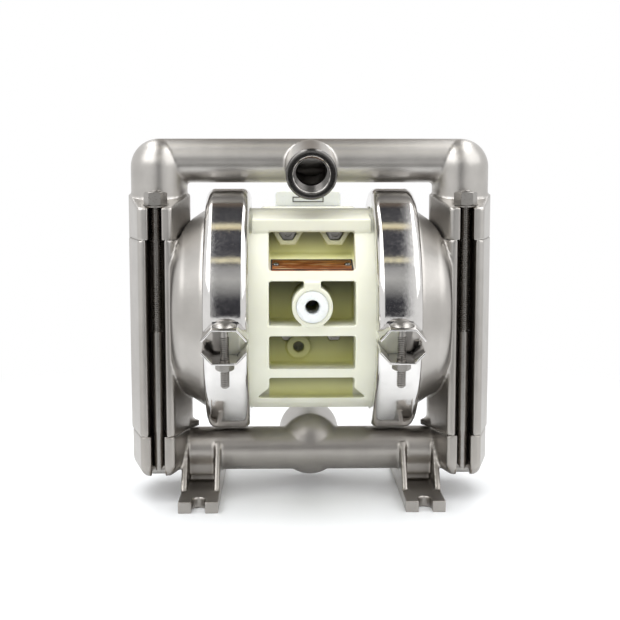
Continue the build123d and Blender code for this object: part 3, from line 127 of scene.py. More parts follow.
# Outlines as (radius, height)
OUTLET_FACE = [
    (12.25, -6),
    (12.25, -1.2),
    (13.4, 0.12),
    (16.8, 0.12),
    (18.05, -1.15),
    (18.05, -2),
    (16.5, -2),
    (13.2, -3),
    (13.2, -6),
]
CLAMP_BOLT_OUTLINE = [
    (0, 2.6),
    (2.5, 2.5),
    (4.6, 2.1),
    (6.3, 1.4),
    (7.5, 0.6),
    (8, 0.15),
    (7.9, 0),
    (2.4, 0),
    (2.4, -42.5),
    (1.9, -43),
    (0, -43),
]
LONG_BOLT_OUTLINE = [
    (0, 0),
    (3.95, 0),
    (3.95, 100),
    (3.2, 100.8),
    (3.2, 199.8),
    (2.7, 200.4),
    (0, 200.4),
]
TEE_OUTLINE = [(0, -7.5), (2.8, -7.5), (3.5, -6.8), (3.5, 6.8), (2.8, 7.5), (0, 7.5)]
WASHER_OUTLINE = [
    (4.15, 0.2),
    (4.35, 0),
    (6.7, 0),
    (7, 0.3),
    (7, 1.2),
    (6.7, 1.5),
    (4.35, 1.5),
    (4.15, 1.3),
]
LABEL_SCREW_OUTLINE = [(0, 0), (2.3, 0), (2.3, 0.3), (2, 0.8), (1.2, 1.15), (0, 1.3)]

# Ports as the middle of the mouth and the turn that brings Z out of it
OUTLET_PORT = (
    (
        0,
        -OUTLET_REACH * cos(OUTLET_TILT),
        DISCHARGE_HEIGHT - OUTLET_REACH * sin(OUTLET_TILT),
    ),
    radians(90) + OUTLET_TILT,
)
INLET_PORT = ((0, 52, 35), radians(-90))
AIR_INLET_PORT = ((0, -77.2, 146.6), radians(90))
EXHAUST_PORT = ((0, 72, 84), radians(-90))

# A thread's profile in pitches: half widths of base and tip. The base is sunk below the root
# by a share of the thread's depth
THREAD_BASE = 0.46
THREAD_TIP = 0.07
THREAD_SUNK = 0.25

# Pipe threads: name, port, root radius, crest radius, pitch, turns and slot
PORT_THREADS = (
    ("outlet_thread", OUTLET_PORT, 12.3, 11.3, 1.814, 9, "turned_stainless"),
    ("inlet_thread", INLET_PORT, 15.0, 13.8, 2.209, 9, "turned_stainless"),
    ("air_inlet_thread", AIR_INLET_PORT, 5.55, 4.9, 1.411, 12, "white_nylon"),
    ("exhaust_thread", EXHAUST_PORT, 9.1, 8.2, 1.814, 13, "ivory_polypropylene"),
)

# Turned, stamped and moulded nodes: name, slot, and how far their edges are rounded
CRISP_NODES = (
    ("air_inlet_bushing", "white_nylon", 0.35),
    ("air_valve_upper_cap", "white_nylon", 0.4),
    ("air_valve_lower_cap", "white_nylon", 0.4),
    ("air_valve_nuts", "bolt_stainless", 0.25),
    ("air_valve_screws", "bolt_stainless", 0.25),
    ("label_plate", "label_foil", 0.15),
)

# A card curved over the front, in metres and degrees. It gives the polished bands their
# bright and dark bars
CARD_RADIUS = 1.5
CARD_HEIGHT = 0.137
CARD_START = -2.0
CARD_END = 165.0
CARD_HALF_WIDTH = 0.36
CARD_FADE = 0.22
# Colours on the card by elevation in degrees
CARD_STOPS = (
    (-2, hex_colour("3A3A3E")),
    (13, hex_colour("434348")),
    (20, hex_colour("8C8C8C")),
    (32, hex_colour("C8C8C6")),
    (42, hex_colour("ACACAC")),
    (47, hex_colour("6A6A6C")),
    (49, hex_colour("FFF6D2")),
    (51, hex_colour("FFF6D2")),
    (54, hex_colour("55555B")),
    (62, hex_colour("3C3C43")),
    (82, hex_colour("48484E")),
    (85, hex_colour("FFF0C4")),
    (88, hex_colour("FFF6D2")),
    (92, hex_colour("4C4C50")),
    (112, hex_colour("38383C")),
    (118, hex_colour("6E6258")),
    (165, hex_colour("8A8178")),
)

# Name, place and aim in metres, side of the square in metres, and power in watts
LAMPS = (
    ("key_light", (-0.9, -0.9, 1.5), (0, 0, 0.12), 1.8, 19),
    ("fill_light", (1.1, -0.7, 1.3), (0, 0, 0.12), 1.8, 13),
    ("top_light", (0, 0.3, 1.95), (0, 0, 0.1), 2.0, 38),
)

# The floor, and the dark apron in front of the pump, in metres
FLOOR_RADIUS = 6.0
FLOOR_FADE_START = 0.1
FLOOR_FADE_END = 0.6
APRON_PLACE = (0, -0.62, 0.001)
APRON_WIDTH = 0.8
# How deep the apron is, as a share of its width
APRON_DEPTH_SHARE = 0.6
APRON_COLOUR = hex_colour("2C2B2A")

# Strength of the world's light, and the camera's sensor in millimetres
WORLD_STRENGTH = 0.42
SENSOR_WIDTH = 36.0

# Sockets of the Mix node when it mixes colours
MIX_FACTOR = 0
MIX_A = 6
MIX_B = 7
MIX_RESULT = 2

# The record's slots, and the finish that each takes
FINISHES = {
    "cast_stainless": "bead_blasted_cast_stainless",
    "polished_stainless": "polished_stainless_strip",
    "bolt_stainless": "drawn_stainless_bolts",
    "turned_stainless": "turned_stainless_faces",
    "ivory_polypropylene": "moulded_polypropylene",
    "white_nylon": "turned_white_nylon",
    "ptfe": "turned_white_nylon",
    "diaphragm_rubber": "moulded_black_rubber",
    "gasket_rubber": "moulded_black_rubber",
    "label_foil": "label_foil_painted_reflection",
}


class PumpSizes(bpy.types.PropertyGroup):
    """Sizes of the pieces that are modelled around the frame."""

    casting_grain: bpy.props.FloatProperty(
        name="Casting grain",
        description="How coarse the skin of a casting is rebuilt",
        default=1.0 * MM,
        unit="LENGTH",
    )
    moulding_grain: bpy.props.FloatProperty(
        name="Moulding grain",
        description="How coarse the skin of a moulding is rebuilt",
        default=0.7 * MM,
        unit="LENGTH",
    )
    band_sheet: bpy.props.FloatProperty(
        name="Band sheet",
        description="Thickness of the pressed clamp bands",
        default=1.4 * MM,
        unit="LENGTH",
    )
    camera_distance: bpy.props.FloatProperty(
        name="Camera distance",
        description="From the camera to the middle of the pump",
        default=0.92,
        unit="LENGTH",
    )
    camera_pitch: bpy.props.FloatProperty(
        name="Camera pitch",
        description="How far the camera looks down",
        default=radians(6.82),
        subtype="ANGLE",
    )
    camera_yaw: bpy.props.FloatProperty(
        name="Camera yaw",
        description="How far the camera stands to the left of the front",
        default=radians(1.32),
        subtype="ANGLE",
    )
    camera_lens: bpy.props.FloatProperty(
        name="Lens",
        description="Focal length on a 36 mm sensor, in millimetres",
        default=72.1,
    )
    aim_height: bpy.props.FloatProperty(
        name="Aim height",
        description="Height that the camera looks at",
        default=0.1357,
        unit="LENGTH",
    )


class PumpColours(bpy.types.PropertyGroup):
    """Colours of the finishes."""

    cast_steel: bpy.props.FloatVectorProperty(
        name="Cast steel",
        description="Glass-bead blasted stainless casting",
        subtype="COLOR",
        size=4,
        default=hex_colour("B7B4B0"),
    )
    polished_steel: bpy.props.FloatVectorProperty(
        name="Polished steel",
        description="Electropolished clamp band",
        subtype="COLOR",
        size=4,
        default=hex_colour("D6D4D2"),
    )
    bolt_steel: bpy.props.FloatVectorProperty(
        name="Bolt steel",
        description="Plain stainless bolts and nuts",
        subtype="COLOR",
        size=4,
        default=hex_colour("9C9995"),
    )
    turned_steel: bpy.props.FloatVectorProperty(
        name="Turned steel",
        description="Faces and threads cut on the lathe",
        subtype="COLOR",
        size=4,
        default=hex_colour("696765"),
    )
    # Painted shade: this olive colour deep in the windows stands in for shade and light through
    # the plastic
    recess_shade: bpy.props.FloatVectorProperty(
        name="Recess",
        description="Natural polypropylene where it is thick and lit through",
        subtype="COLOR",
        size=4,
        default=hex_colour("C6C58C"),
    )
    ivory: bpy.props.FloatVectorProperty(
        name="Ivory",
        description="Natural polypropylene of the centre block",
        subtype="COLOR",
        size=4,
        default=hex_colour("E4E4D3"),
    )
    nylon: bpy.props.FloatVectorProperty(
        name="Nylon",
        description="White nylon bushing and spool",
        subtype="COLOR",
        size=4,
        default=hex_colour("EDF0EE"),
    )
    # Painted reflection: the amber of the foil stands in for a reflection
    label_foil: bpy.props.FloatVectorProperty(
        name="Label foil",
        description="Bare metal foil of the label plate",
        subtype="COLOR",
        size=4,
        default=hex_colour("BA6A34"),
    )
    rubber: bpy.props.FloatVectorProperty(
        name="Rubber",
        description="Black elastomer of diaphragms and gaskets",
        subtype="COLOR",
        size=4,
        default=hex_colour("1C1C1C"),
    )


def deselect():
    """Nothing is selected or active afterwards."""
    if bpy.context.object and bpy.context.object.mode != "OBJECT":
        bpy.ops.object.mode_set(mode="OBJECT")
    bpy.ops.object.select_all(action="DESELECT")
    bpy.context.view_layer.objects.active = None


def pick(piece):
    """Only this piece is selected and active afterwards."""
    deselect()
    piece.select_set(True)
    bpy.context.view_layer.objects.active = piece


def settle(piece):
    """Put the piece's place into its mesh, so that its object sits at the origin."""
    pick(piece)
    bpy.ops.object.transform_apply(location=True, rotation=True, scale=True)


def add_node(tree, kind, inputs=None, stops=(), **settings):
    """Add one shader node with its settings and colour stops, its inputs set or linked."""
    node = tree.nodes.new(kind)
    for key, value in settings.items():
        setattr(node, key, value)
    for key, value in (inputs or {}).items():
        if isinstance(value, bpy.types.NodeSocket):
            tree.links.new(value, node.inputs[key])
        else:
            node.inputs[key].default_value = value
    if stops:
        elements = node.color_ramp.elements
        while len(elements) < len(stops):
            elements.new(0.5)
        for element, (position, colour) in zip(elements, stops):
            element.position = position
            element.color = colour
    return node


def new_material(name):
    """A material whose node tree is still empty."""
    material = bpy.data.materials.new(name)
    material.use_nodes = True
    material.node_tree.nodes.clear()
    return material


def shade(colour, factor):
    """The colour made darker or lighter by a factor."""
    return (*[min(1.0, c * factor) for c in colour[:3]], 1.0)


def grey(value):
    """An opaque grey."""
    return (value, value, value, 1.0)


def region(tree, limits):
    """1 inside a part of the pump and 0 outside it, with soft steps at its limits."""
    place = add_node(tree, "ShaderNodeTexCoord").outputs["Object"]
    axes = add_node(tree, "ShaderNodeSeparateXYZ", {"Vector": place}).outputs
    inside = 1.0
    for axis, middles, start, full in limits:
        value = axes[axis]
        for middle in middles:
            offset = add_node(
                tree,
                "ShaderNodeMath",
                {0: value, 1: middle * MM},
                operation="SUBTRACT",
            )
            folded = add_node(
                tree, "ShaderNodeMath", {0: offset.outputs[0]}, operation="ABSOLUTE"
            )
            value = folded.outputs[0]
        step = add_node(
            tree,
            "ShaderNodeMapRange",
            {"Value": value, "From Min": start * MM, "From Max": full * MM},
            interpolation_type="SMOOTHSTEP",
        )
        inside = add_node(
            tree,
            "ShaderNodeMath",
            {0: step.outputs[0], 1: inside},
            operation="MULTIPLY",
        ).outputs[0]
    return inside


def channel_shade_and_lower_darkening(tree):
    """Painted shade: 1 deep in the bolt channels, and a lesser darkening that grows towards the
    floor.
    """
    low = add_node(
        tree,
        "ShaderNodeMath",
        {0: region(tree, TOWARDS_FLOOR), 1: LOWER_DARKENING},
        operation="MULTIPLY",
    )
    return add_node(
        tree,
        "ShaderNodeMath",
        {0: region(tree, SHADED_BOLT_CHANNELS), 1: low.outputs[0]},
        operation="MAXIMUM",
    ).outputs[0]


def window_shade(tree):
    """0 at the bottom of each window, rising to 1 under its top edge."""
    shaded = 0.0
    for low, high in WINDOWS:
        rise = region(tree, ((2, (), low, high), (2, (), high + 2, high + 1)))
        shaded = add_node(
            tree, "ShaderNodeMath", {0: rise, 1: shaded}, operation="MAXIMUM"
        ).outputs[0]
    return shaded


def skin(tree, detail, blotch_mm, tints, grain_mm, glosses, bump_strength, bump_mm):
    """Blotched colour, grained gloss and grained height, on Object coordinates."""
    place = add_node(tree, "ShaderNodeTexCoord").outputs["Object"]
    blotches, grain = [
        add_node(
            tree,
            "ShaderNodeTexNoise",
            {"Vector": place, "Scale": 1 / (size * MM), "Detail": detail},
        ).outputs["Fac"]
        for size in (blotch_mm, grain_mm)
    ]
    tint = add_node(tree, "ShaderNodeValToRGB", {"Fac": blotches}, tints)
    gloss = add_node(tree, "ShaderNodeValToRGB", {"Fac": grain}, glosses)
    bump = add_node(
        tree,
        "ShaderNodeBump",
        {"Height": grain, "Strength": bump_strength, "Distance": bump_mm * MM},
    )
    return tint.outputs["Color"], gloss.outputs["Color"], bump.outputs[0]


def steel_finish(
    name, colour, roughness, spread, grain_mm, bump_mm, blotch_mm, darkening_tint=None
):
    """Steel with grain in its gloss and height, and faint blotches in its colour."""
    tree = new_material(name).node_tree
    tint, gloss, bump = skin(
        tree,
        detail=3,
        blotch_mm=blotch_mm,
        tints=[(0.3, shade(colour, 0.92)), (0.7, shade(colour, 1.05))],
        grain_mm=grain_mm,
        glosses=[(0.25, grey(roughness - spread)), (0.75, grey(roughness + spread))],
        bump_strength=0.6,
        bump_mm=bump_mm,
    )
    # Painted shade in the bolt channels, and darker towards the floor, mixed in with the
    # darkening tint
    if darkening_tint:
        tint = add_node(
            tree,
            "ShaderNodeMix",
            {MIX_FACTOR: channel_shade_and_lower_darkening(tree), MIX_A: tint, MIX_B: darkening_tint},
            data_type="RGBA",
        ).outputs[MIX_RESULT]
    shader = add_node(
        tree,
        "ShaderNodeBsdfPrincipled",
        {"Base Color": tint, "Roughness": gloss, "Normal": bump, "Metallic": 1.0},
    )
    add_node(tree, "ShaderNodeOutputMaterial", {"Surface": shader.outputs[0]})


def plastic_finish(name, colour, roughness, grain_mm, scatter_mm, recess_shade=None):
    """Moulded plastic: a soft gloss, a faint grain and some light inside it."""
    tree = new_material(name).node_tree
    tint, gloss, bump = skin(
        tree,
        detail=2,
        blotch_mm=18,
        tints=[(0.3, shade(colour, 0.96)), (0.7, colour)],
        grain_mm=grain_mm,
        glosses=[(0.3, grey(roughness - 0.05)), (0.7, grey(roughness + 0.07))],
        bump_strength=0.35,
        bump_mm=0.05,
    )
    # Painted shade: olive and darker deep in the windows, lighter at each window's bottom and
    # darkest under its top edge
    if recess_shade:
        depth = add_node(
            tree,
            "ShaderNodeMix",
            {
                MIX_FACTOR: window_shade(tree),
                MIX_A: shade(recess_shade, 1.6),
                MIX_B: shade(recess_shade, 0.32),
            },
            data_type="RGBA",
        ).outputs[MIX_RESULT]
        tint = add_node(
            tree,
            "ShaderNodeMix",
            {MIX_FACTOR: region(tree, SHADED_WINDOW_RECESSES), MIX_A: tint, MIX_B: depth},
            data_type="RGBA",
        ).outputs[MIX_RESULT]
    inputs = {"Base Color": tint, "Roughness": gloss, "Normal": bump, "IOR": 1.49}
    if scatter_mm:
        inputs["Subsurface Weight"] = 0.3
        inputs["Subsurface Radius"] = (1.0, 0.95, 0.6)
        inputs["Subsurface Scale"] = scatter_mm * MM
    shader = add_node(tree, "ShaderNodeBsdfPrincipled", inputs)
    add_node(tree, "ShaderNodeOutputMaterial", {"Surface": shader.outputs[0]})


def painted_reflection_foil(name, colour):
    """Metal foil with a painted amber reflection, and long streaks along X that are partly grain
    and partly painted sheen.
    """
    tree = new_material(name).node_tree
    place = add_node(tree, "ShaderNodeTexCoord").outputs["Object"]
    stretched = add_node(
        tree, "ShaderNodeMapping", {"Vector": place, "Scale": (0.1, 1, 1)}
    )
    streaks = add_node(
        tree,
        "ShaderNodeTexNoise",
        {"Vector": stretched.outputs[0], "Scale": 1 / (1.6 * MM), "Detail": 3},
    )
    # Painted reflection: amber with pale and dark streaks, the streaks partly brushed grain and
    # partly painted sheen
    tint = add_node(
        tree,
        "ShaderNodeValToRGB",
        {"Fac": streaks.outputs["Fac"]},
        [
            (0.32, shade(colour, 0.3)),
            (0.46, shade(colour, 0.8)),
            (0.56, colour),
            (0.68, hex_colour("D9B98C")),
        ],
    )
    shader = add_node(
        tree,
        "ShaderNodeBsdfPrincipled",
        {
            "Base Color": tint.outputs["Color"],
            "Metallic": 0.8,
            "Roughness": 0.28,
            "Coat Weight": 0.4,
            "Coat Roughness": 0.08,
        },
    )
    add_node(tree, "ShaderNodeOutputMaterial", {"Surface": shader.outputs[0]})


def dress(piece, slot_name):
    """Give a piece or a CAD node the finish of one of the record's slots."""
    piece.data.materials.clear()
    piece.data.materials.append(bpy.data.materials[FINISHES[slot_name]])


def close_up():
    """Merge doubles, drop loose edges, fill open ends and turn faces outwards."""
    bpy.ops.mesh.select_all(action="SELECT")
    bpy.ops.mesh.remove_doubles(threshold=MERGE_DISTANCE)
    bpy.ops.mesh.delete_loose()
    bpy.ops.mesh.select_all(action="SELECT")
    bpy.ops.mesh.fill_holes(sides=0)
    bpy.ops.mesh.normals_make_consistent(inside=False)
    bpy.ops.object.mode_set(mode="OBJECT")


def outline(name, points):
    """A closed loop of edges through points in millimetres, in edit mode and all selected."""
    deselect()
    bpy.ops.mesh.primitive_circle_add(vertices=len(points), radius=MM)
    piece = bpy.context.object
    piece.name = name
    for vertex, point in zip(piece.data.vertices, points):
        vertex.co = Vector(point) * MM
    bpy.ops.object.mode_set(mode="EDIT")
    bpy.ops.mesh.select_all(action="SELECT")
    return piece


def lathe(name, points, steps=48):
    """A solid turned about Z from a closed outline of (radius, height) points."""
    piece = outline(name, [(radius, 0, height) for radius, height in points])
    bpy.ops.mesh.spin(steps=steps, angle=2 * pi, center=(0, 0, 0), axis=(0, 0, 1))
    close_up()
    return piece


def prism(name, points, length):
    """A solid pulled along Y from a closed outline of (x, z) points."""
    piece = outline(name, [(x, 0, z) for x, z in points])
    bpy.ops.mesh.edge_face_add()
    bpy.ops.mesh.extrude_region_move(
        TRANSFORM_OT_translate={"value": (0, length * MM, 0)}
    )
    close_up()
    return piece


def coil(name, root, crest, pitch, turns, steps=20):
    """A thread's ridge round Z, from a base sunk in the root up to its crest."""
    sunk = root - THREAD_SUNK * (crest - root)
    points = [
        (sunk, -THREAD_BASE),
        (crest, -THREAD_TIP),
        (crest, THREAD_TIP),
        (sunk, THREAD_BASE),
    ]
    piece = outline(name, [(radius, 0, height * pitch) for radius, height in points])
    bpy.ops.object.mode_set(mode="OBJECT")
    finish_with(
        piece,
        "SCREW",
        screw_offset=pitch * MM,
        iterations=turns,
        steps=steps,
        render_steps=steps,
    )
    bpy.ops.object.mode_set(mode="EDIT")
    close_up()
    return piece


def finish_with(piece, kind, **settings):
    """Add one modifier to the piece and apply it."""
    pick(piece)
    modifier = piece.modifiers.new(kind.lower(), kind)
    for key, value in settings.items():
        setattr(modifier, key, value)
    bpy.ops.object.modifier_apply(modifier=modifier.name)


def carve(piece, tool, operation="DIFFERENCE"):
    """Cut the piece with a tool, or keep what both share, and remove the tool."""
    finish_with(piece, "BOOLEAN", object=tool, operation=operation, solver="EXACT")
    bpy.data.objects.remove(tool)


def ease_edges(piece, width_mm, segments=2, angle=30):
    """Round the edges that are sharper than an angle in degrees."""
    finish_with(
        piece,
        "BEVEL",
        width=width_mm * MM,
        segments=segments,
        limit_method="ANGLE",
        angle_limit=radians(angle),
        harden_normals=False,
    )


def smooth(piece, angle=35):
    """Shade the piece smooth, and keep the edges that are sharper than an angle."""
    pick(piece)
    bpy.ops.object.shade_smooth_by_angle(angle=radians(angle))


def twin(piece):
    """A copy of the piece with its own mesh."""
    copy = piece.copy()
    copy.data = piece.data.copy()
    bpy.context.collection.objects.link(copy)
    return copy


def weld(pieces):
    """Join several pieces into the first one."""
    deselect()
    for piece in pieces:
        piece.select_set(True)
    bpy.context.view_layer.objects.active = pieces[0]
    bpy.ops.object.join()
    return pieces[0]


def repeat(piece, places):
    """One piece with a copy of this one at each place in millimetres."""
    copies = []
    for place in places:
        copy = twin(piece)
        copy.location = Vector(place) * MM
        copies.append(copy)
    bpy.data.objects.remove(piece)
    return weld(copies)


def cad_copy(name, node):
    """A copy of a CAD node's mesh with its loose triangles merged."""
    piece = bpy.data.objects.new(name, frame["nodes"][node].data.copy())
    bpy.context.collection.objects.link(piece)
    pick(piece)
    bpy.ops.object.mode_set(mode="EDIT")
    bpy.ops.mesh.select_all(action="SELECT")
    bpy.ops.mesh.remove_doubles(threshold=MERGE_DISTANCE)
    bpy.ops.object.mode_set(mode="OBJECT")
    return piece


def soften(piece, grain, passes, share):
    """Rebuild a copy as one skin with rounded edges, and keep a share of its triangles."""
    finish_with(piece, "REMESH", mode="VOXEL", voxel_size=grain)
    finish_with(piece, "SMOOTH", factor=0.5, iterations=passes)
    finish_with(piece, "DECIMATE", ratio=share)
    pick(piece)
    bpy.ops.object.shade_smooth()


def hand_over(piece, name, slot_name, *nodes):
    """Name, dress and settle a finished piece, and let it stand for its CAD nodes."""
    settle(piece)
    piece.name = name
    piece.data.name = name
    dress(piece, slot_name)
    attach(piece, CASING)
    if nodes:
        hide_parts(*nodes)


def at_port(piece, port):
    """Turn and move a piece from the origin to a port's mouth."""
    place, turn = port
    piece.location = Vector(place) * MM
    piece.rotation_euler = (turn, 0, 0)
    settle(piece)


def bend(middle, radius, start, end, steps=8):
    """Points along an arc in degrees, both ends included."""
    return [
        (
            middle[0] + radius * cos(radians(start + (end - start) * i / steps)),
            middle[1] + radius * sin(radians(start + (end - start) * i / steps)),
        )
        for i in range(steps + 1)
    ]


def band_section(sheet):
    """Outline of the pressed band as (x, radius): crown, round shoulders, rolled skirts."""
    shoulder = BAND_HALF_WIDTH - BAND_CROWN
    middle = BAND_RADIUS - shoulder
    skirt = BAND_SKIRT + sheet / 2
    lip = BAND_HALF_WIDTH - sheet / 2
    return (
        bend((-BAND_CROWN, middle), shoulder, 180, 90)
        + bend((BAND_CROWN, middle), shoulder, 90, 0)
        + bend((lip, skirt), sheet / 2, 0, -180, steps=6)
        + bend((BAND_CROWN, middle), shoulder - sheet, 0, 90)
        + bend((-BAND_CROWN, middle), shoulder - sheet, 90, 180)
        + bend((-lip, skirt), sheet / 2, 0, -180, steps=6)
    )


def sheet_section(line, thickness):
    """Outline of a bent strip that follows a line of (x, z) points."""
    runs = [
        Vector((b[0] - a[0], b[1] - a[1])).normalized() for a, b in zip(line, line[1:])
    ]
    above = []
    below = []
    for i, point in enumerate(line):
        before = runs[max(i - 1, 0)]
        after = runs[min(i, len(runs) - 1)]
        out = Vector((-before.y - after.y, before.x + after.x)).normalized()
        reach = thickness / 2 / out.dot(Vector((-after.y, after.x)))
        above.append((point[0] + out.x * reach, point[1] + out.y * reach))
        below.append((point[0] - out.x * reach, point[1] - out.y * reach))
    return above + below[::-1]


def rim_frame(name, width, height, rim, thickness):
    """A thin rectangular frame in X and Z, that is thick along Y."""
    x, z = width / 2, height / 2
    frame_piece = prism(name, [(-x, -z), (x, -z), (x, z), (-x, z)], thickness)
    x, z = x - rim, z - rim
    middle = prism("middle", [(-x, -z), (x, -z), (x, z), (-x, z)], 3 * thickness)
    middle.location.y = -thickness * MM
    settle(middle)
    carve(frame_piece, middle)
    ease_edges(frame_piece, 0.12)
    smooth(frame_piece)
    return frame_piece


def hex_nut(name, flat, height, bore):
    """A hexagon nut with chamfered corners and a countersunk bore."""
    corner = flat / sqrt(3)
    deselect()
    bpy.ops.mesh.primitive_cylinder_add(
        vertices=6,
        radius=corner * MM,
        depth=height * MM,
        location=(0, 0, height / 2 * MM),
        rotation=(0, 0, radians(30)),
    )
    nut = bpy.context.object
    nut.name = name
    settle(nut)
    face = flat * 0.485
    cut = (corner - face) * tan(NUT_CHAMFER)
    barrel = lathe(
        "barrel",
        [
            (bore, NUT_COUNTERSINK),
            (bore + NUT_COUNTERSINK, 0),
            (face, 0),
            (corner + 0.02, cut),
            (corner + 0.02, height - cut),
            (face, height),
            (bore + NUT_COUNTERSINK, height),
            (bore, height - NUT_COUNTERSINK),
        ],
        steps=96,
    )
    carve(nut, barrel, "INTERSECT")
    smooth(nut, 25)
    return nut


class PUMP_OT_finishes(bpy.types.Operator):
    """Make the materials and put them on the nodes of the frame"""

    bl_idname = "pump.finishes"
    bl_label = "Finishes"

    def execute(self, context):
        colours = context.scene.pump_colours
        # Investment-cast 316, blasted with glass beads: even warm grey with broad highlights
        steel_finish(
            "bead_blasted_cast_stainless",
            colours.cast_steel,
            roughness=0.34,
            spread=0.05,
            grain_mm=0.7,
            bump_mm=0.05,
            blotch_mm=16,
            # Painted shade in the bolt channels, and darker towards the floor
            darkening_tint=hex_colour("7F776E"),
        )
        # Pressed 304 strip, electropolished: sharp reflections with a slight orange peel
        steel_finish(
            "polished_stainless_strip",
            colours.polished_steel,
            roughness=0.1,
            spread=0.05,
            grain_mm=2.2,
            bump_mm=0.03,
            blotch_mm=14,
        )
        # Cold-headed A2 bolts: satin, with hardly any grain
        steel_finish(
            "drawn_stainless_bolts",
            colours.bolt_steel,
            roughness=0.3,
            spread=0.04,
            grain_mm=0.9,
            bump_mm=0.002,
            blotch_mm=8,
        )
        # Faces cut on the lathe: glossier and darker than the casting round them
        steel_finish(
            "turned_stainless_faces",
            colours.turned_steel,
            roughness=0.2,
            spread=0.05,
            grain_mm=0.5,
            bump_mm=0.02,
            blotch_mm=12,
        )
        # Natural polypropylene: matt ivory, with painted shade olive and dark deep in the
        # windows
        plastic_finish(
            "moulded_polypropylene",
            colours.ivory,
            roughness=0.42,
            grain_mm=1.2,
            scatter_mm=3,
            recess_shade=colours.recess_shade,
        )
        # Turned nylon: cooler, whiter and glossier than the moulding
        plastic_finish(
            "turned_white_nylon",
            colours.nylon,
            roughness=0.3,
            grain_mm=1.5,
            scatter_mm=3,
        )
        # Moulded rubber: black and matt
        plastic_finish(
            "moulded_black_rubber",
            colours.rubber,
            roughness=0.6,
            grain_mm=0.8,
            scatter_mm=0,
        )
        # Lacquered foil with its print left off: painted amber reflection in streaks along the
        # plate, the streaks partly grain
        painted_reflection_foil("label_foil_painted_reflection", colours.label_foil)
        for part in frame["record"]["subparts"]:
            dress(frame["nodes"][part["node"]], part["material_slot"])
        return {"FINISHED"}


class PUMP_OT_castings(bpy.types.Operator):
    """Round the edges of the four castings, and add the machined face of the outlet"""

    bl_idname = "pump.castings"
    bl_label = "Castings"

    def execute(self, context):
        sizes = context.scene.pump_sizes
        for node in (
            "discharge_manifold",
            "inlet_manifold",
            "left_liquid_chamber",
            "right_liquid_chamber",
        ):
            piece = cad_copy(node, node)
            soften(piece, sizes.casting_grain, passes=4, share=0.4)
            hand_over(piece, f"{node}_casting", "cast_stainless", node)
        face = lathe("outlet_face", OUTLET_FACE, steps=96)
        ease_edges(face, 0.15)
        smooth(face, 20)
        at_port(face, OUTLET_PORT)
        hand_over(face, "outlet_face", "turned_stainless")
        return {"FINISHED"}


class PUMP_OT_threads(bpy.types.Operator):
    """Cut threads show in the four ports"""

    bl_idname = "pump.threads"
    bl_label = "Port threads"

    def execute(self, context):
        for name, port, root, crest, pitch, turns, slot_name in PORT_THREADS:
            piece = coil(name, root, crest, pitch, turns, steps=40)
            piece.location.z = -(turns + 0.8) * pitch * MM
            settle(piece)
            at_port(piece, port)
            smooth(piece, 25)
            hand_over(piece, name, slot_name)
        return {"FINISHED"}


class PUMP_OT_bands(bpy.types.Operator):
    """Roll the four clamp halves and their octagonal lugs"""

    bl_idname = "pump.bands"
    bl_label = "Clamp bands"

    def execute(self, context):
        sheet = context.scene.pump_sizes.band_sheet / MM
        start = asin(BAND_SPLIT / BAND_RADIUS)
        points = band_section(sheet)
        half = outline(
            "clamp_half",
            [(x, -radius * cos(start), radius * sin(start)) for x, radius in points],
        )
        bpy.ops.mesh.spin(
            steps=112, angle=pi - 2 * start, center=(0, 0, 0), axis=(1, 0, 0)
        )
        close_up()
        trough = prism("trough", LUG_LINE + LUG_MOUTH, 4 * BAND_RADIUS)
        trough.location.y = -2 * BAND_RADIUS * MM
        settle(trough)
        carve(half, trough)
        smooth(half, 30)
        lug = prism("lug", sheet_section(LUG_LINE, LUG_SHEET), -LUG_RUN)
        ease_edges(lug, 0.45, segments=3)
        hole = lathe(
            "hole", [(0, -9), (LUG_HOLE, -9), (LUG_HOLE, 9), (0, 9)], steps=32
        )
        hole.location = Vector((0, LUG_START - CLAMP_BOLT_REACH, LUG_TOP)) * MM
        settle(hole)
        carve(lug, hole)
        smooth(lug, 30)
        lug.location.y = -LUG_START * MM
        settle(lug)
        finish_with(lug, "MIRROR", use_axis=(False, True, False))
        half = weld([half, lug])
        for side, x in (("left", -CLAMP_X), ("right", CLAMP_X)):
            for level, turn in (("upper", 0), ("lower", pi)):
                piece = twin(half)
                piece.location = Vector((x, 0, SHAFT_HEIGHT)) * MM
                piece.rotation_euler = (CLAMP_TILT + turn, 0, 0)
                hand_over(
                    piece,
                    f"{side}_band_{level}",
                    "polished_stainless",
                    f"{side}_clamp_{level}",
                )
        bpy.data.objects.remove(half)
        return {"FINISHED"}


class PUMP_OT_clamp_bolts(bpy.types.Operator):
    """Thread the four clamp bolts and cut their nuts"""

    bl_idname = "pump.clamp_bolts"
    bl_label = "Clamp bolts"

    def execute(self, context):
        bolt = lathe("clamp_bolt", CLAMP_BOLT_OUTLINE)
        ridge = coil("clamp_bolt_thread", root=2.4, crest=3.175, pitch=1.27, turns=27)
        ridge.location.z = CLAMP_THREAD_END * MM
        bolt = weld([bolt, ridge])
        smooth(bolt, 25)
        nut = hex_nut("clamp_nut", flat=11.1, height=CLAMP_NUT_HEIGHT, bore=3.2)
        for piece, rise, name in (
            (bolt, LUG_SKIN, "clamp_bolts"),
            (nut, -LUG_SKIN - CLAMP_NUT_HEIGHT, "clamp_nuts"),
        ):
            piece = repeat(
                piece,
                [
                    (x, y, rise)
                    for x in (-CLAMP_X, CLAMP_X)
                    for y in (-CLAMP_BOLT_REACH, CLAMP_BOLT_REACH)
                ],
            )
            settle(piece)
            piece.location.z = SHAFT_HEIGHT * MM
            piece.rotation_euler.x = CLAMP_TILT
            hand_over(piece, f"threaded_{name}", "bolt_stainless", name)
        return {"FINISHED"}


